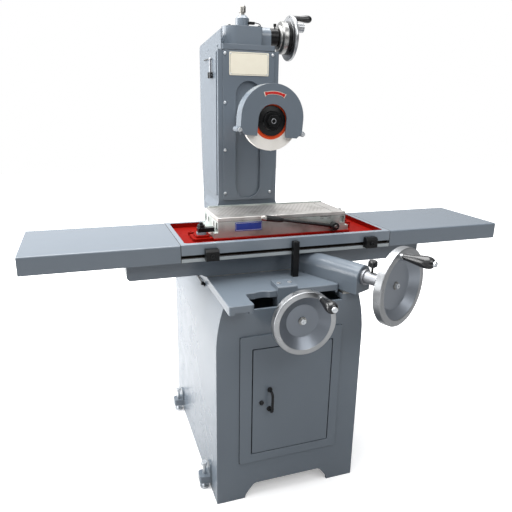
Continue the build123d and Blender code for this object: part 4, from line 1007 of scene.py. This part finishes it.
def studio_floor():
    """White floor sheet that takes the machine's shadow.

    A strip of it in front of the machine is dim for the machine's own light and reflections."""
    material, tree, place = start("studio floor, white vinyl")
    grain = add(tree, "ShaderNodeTexNoise", 0, {
        "Vector": place, "Scale": 1 / mm(400), "Detail": 2.0})
    tint = add(tree, "ShaderNodeMix", 2, {
        0: grain, 6: linear("#f2f2f2"), 7: linear("#eeeeee")}, data_type="RGBA")
    reach = add(tree, "ShaderNodeVectorMath", "Value", {0: place}, operation="LENGTH")
    seen = add(tree, "ShaderNodeLightPath", "Is Camera Ray")
    # The strip's middle is 1.05 m in front of the cabinet's
    off = add(tree, "ShaderNodeVectorMath", 0, {0: place, 1: (0, 1.05, 0)}, operation="ADD")
    off = add(tree, "ShaderNodeVectorMath", 0, {0: off}, operation="ABSOLUTE")
    off = add(tree, "ShaderNodeSeparateXYZ", 1, {0: off})
    edge = add(tree, "ShaderNodeMapRange", 0, {
        "Value": off, "From Min": 0.5, "From Max": 1.1, "To Min": 0.65, "To Max": 0.3})
    hidden = add(tree, "ShaderNodeMath", 0, {0: 1.0, 1: seen}, operation="SUBTRACT")
    dim = add(tree, "ShaderNodeMath", 0, {0: edge, 1: hidden}, operation="MULTIPLY")
    tint = add(tree, "ShaderNodeMix", 2, {0: dim, 6: tint, 7: linear("#303030")}, data_type="RGBA")
    vinyl = add(tree, "ShaderNodeBsdfDiffuse", 0, {"Color": tint})
    far = add(tree, "ShaderNodeMapRange", 0, {
        "Value": reach, "From Min": 0.7, "From Max": 2.6, "To Min": 0.3, "To Max": 1.0})
    lift = add(tree, "ShaderNodeMath", 0, {0: far, 1: seen}, operation="MULTIPLY")
    shiny = add(tree, "ShaderNodeLightPath", "Is Glossy Ray")
    open_floor = add(tree, "ShaderNodeMapRange", 0, {
        "Value": edge, "From Min": 0.3, "From Max": 0.65, "To Min": 0.25, "To Max": 0.0})
    shine = add(tree, "ShaderNodeMath", 0, {0: open_floor, 1: shiny}, operation="MULTIPLY")
    lift = add(tree, "ShaderNodeMath", 0, {0: lift, 1: shine}, operation="ADD")
    white = add(tree, "ShaderNodeEmission", 0, {"Strength": lift})
    both = add(tree, "ShaderNodeAddShader", 0, {0: vinyl, 1: white})
    add(tree, "ShaderNodeOutputMaterial", None, {"Surface": both})
    mesh = bpy.data.meshes.new("floor")
    mesh.from_pydata([(-9, -9, 0), (9, -9, 0), (9, 9, 0), (-9, 9, 0)], [], [(0, 1, 2, 3)])
    mesh.materials.append(material)
    floor = bpy.data.objects.new("floor", mesh)
    bpy.context.scene.collection.objects.link(floor)


def studio_world():
    """White surround for the camera; for light, a tent bright above, behind and at the left."""
    world = bpy.data.worlds.new("studio")
    world.use_nodes = True
    tree = world.node_tree
    tree.nodes.clear()
    toward = add(tree, "ShaderNodeTexCoord", "Generated")
    facing = add(tree, "ShaderNodeVectorMath", "Value", {
        0: toward, 1: Vector((-0.55, 0.42, 0.72))}, operation="DOT_PRODUCT")
    level = add(tree, "ShaderNodeMapRange", 0, {
        "Value": facing, "From Min": -0.35, "From Max": 0.55, "To Min": 0.1, "To Max": 1.0})
    seen = add(tree, "ShaderNodeLightPath", "Is Camera Ray")
    tent = add(tree, "ShaderNodeBackground", 0, {"Color": linear("#fafbfd"), "Strength": level})
    white = add(tree, "ShaderNodeBackground", 0, {"Color": linear("#ffffff"), "Strength": 1.0})
    both = add(tree, "ShaderNodeMixShader", 0, {0: seen, 1: tent, 2: white})
    add(tree, "ShaderNodeOutputWorld", None, {"Surface": both})
    bpy.context.scene.world = world


def softbox(name, place, target, size, power):
    """Rectangular studio lamp in metres and watts, turned to a place on the machine."""
    lamp = bpy.data.lights.new(name, "AREA")
    lamp.shape = "RECTANGLE"
    lamp.size, lamp.size_y = size
    lamp.energy = power
    holder = bpy.data.objects.new(name, lamp)
    holder.location = place
    holder.rotation_euler = (Vector(target) - Vector(place)).to_track_quat("-Z", "Y").to_euler()
    bpy.context.scene.collection.objects.link(holder)


def camera():
    """Camera at the photograph's place: three-quarter from the left, a little above the table."""
    yaw, pitch, roll = radians(19.01), radians(16.59), radians(0.92)
    ahead = Vector((sin(yaw) * cos(pitch), cos(yaw) * cos(pitch), -sin(pitch)))
    level = Vector((cos(yaw), -sin(yaw), 0))
    upright = level.cross(ahead)
    right = level * cos(roll) + upright * sin(roll)
    up = right.cross(ahead)
    lens = bpy.data.cameras.new("camera")
    lens.sensor_width = 36
    # The photograph is 512 pixels wide, with a focal length of 504.5 pixels
    lens.lens = lens.sensor_width * 504.5 / 512
    holder = bpy.data.objects.new("camera", lens)
    stand = at(-625.2, -1423.2, 1357.4)
    turn = Matrix((right, up, -ahead)).transposed().to_4x4()
    holder.matrix_world = Matrix.Translation(stand) @ turn
    bpy.context.scene.collection.objects.link(holder)
    bpy.context.scene.camera = holder


studio_floor()
studio_world()
softbox("top_softbox", (-0.5, 0.3, 3.4), (0, 0, 0.9), (3.0, 2.6), 170)
softbox("left_softbox", (-2.6, 2.0, 1.5), (0, 0, 0.8), (2.4, 2.4), 108)
softbox("left_strip", (-2.4, 0.2, 0.9), (0, -0.5, 0.75), (0.6, 1.4), 22)
softbox("front_softbox", (0.9, -2.8, 3.1), (0, 0, 0.9), (2.4, 1.6), 42)
camera()
bpy.context.scene.view_settings.view_transform = "Standard"
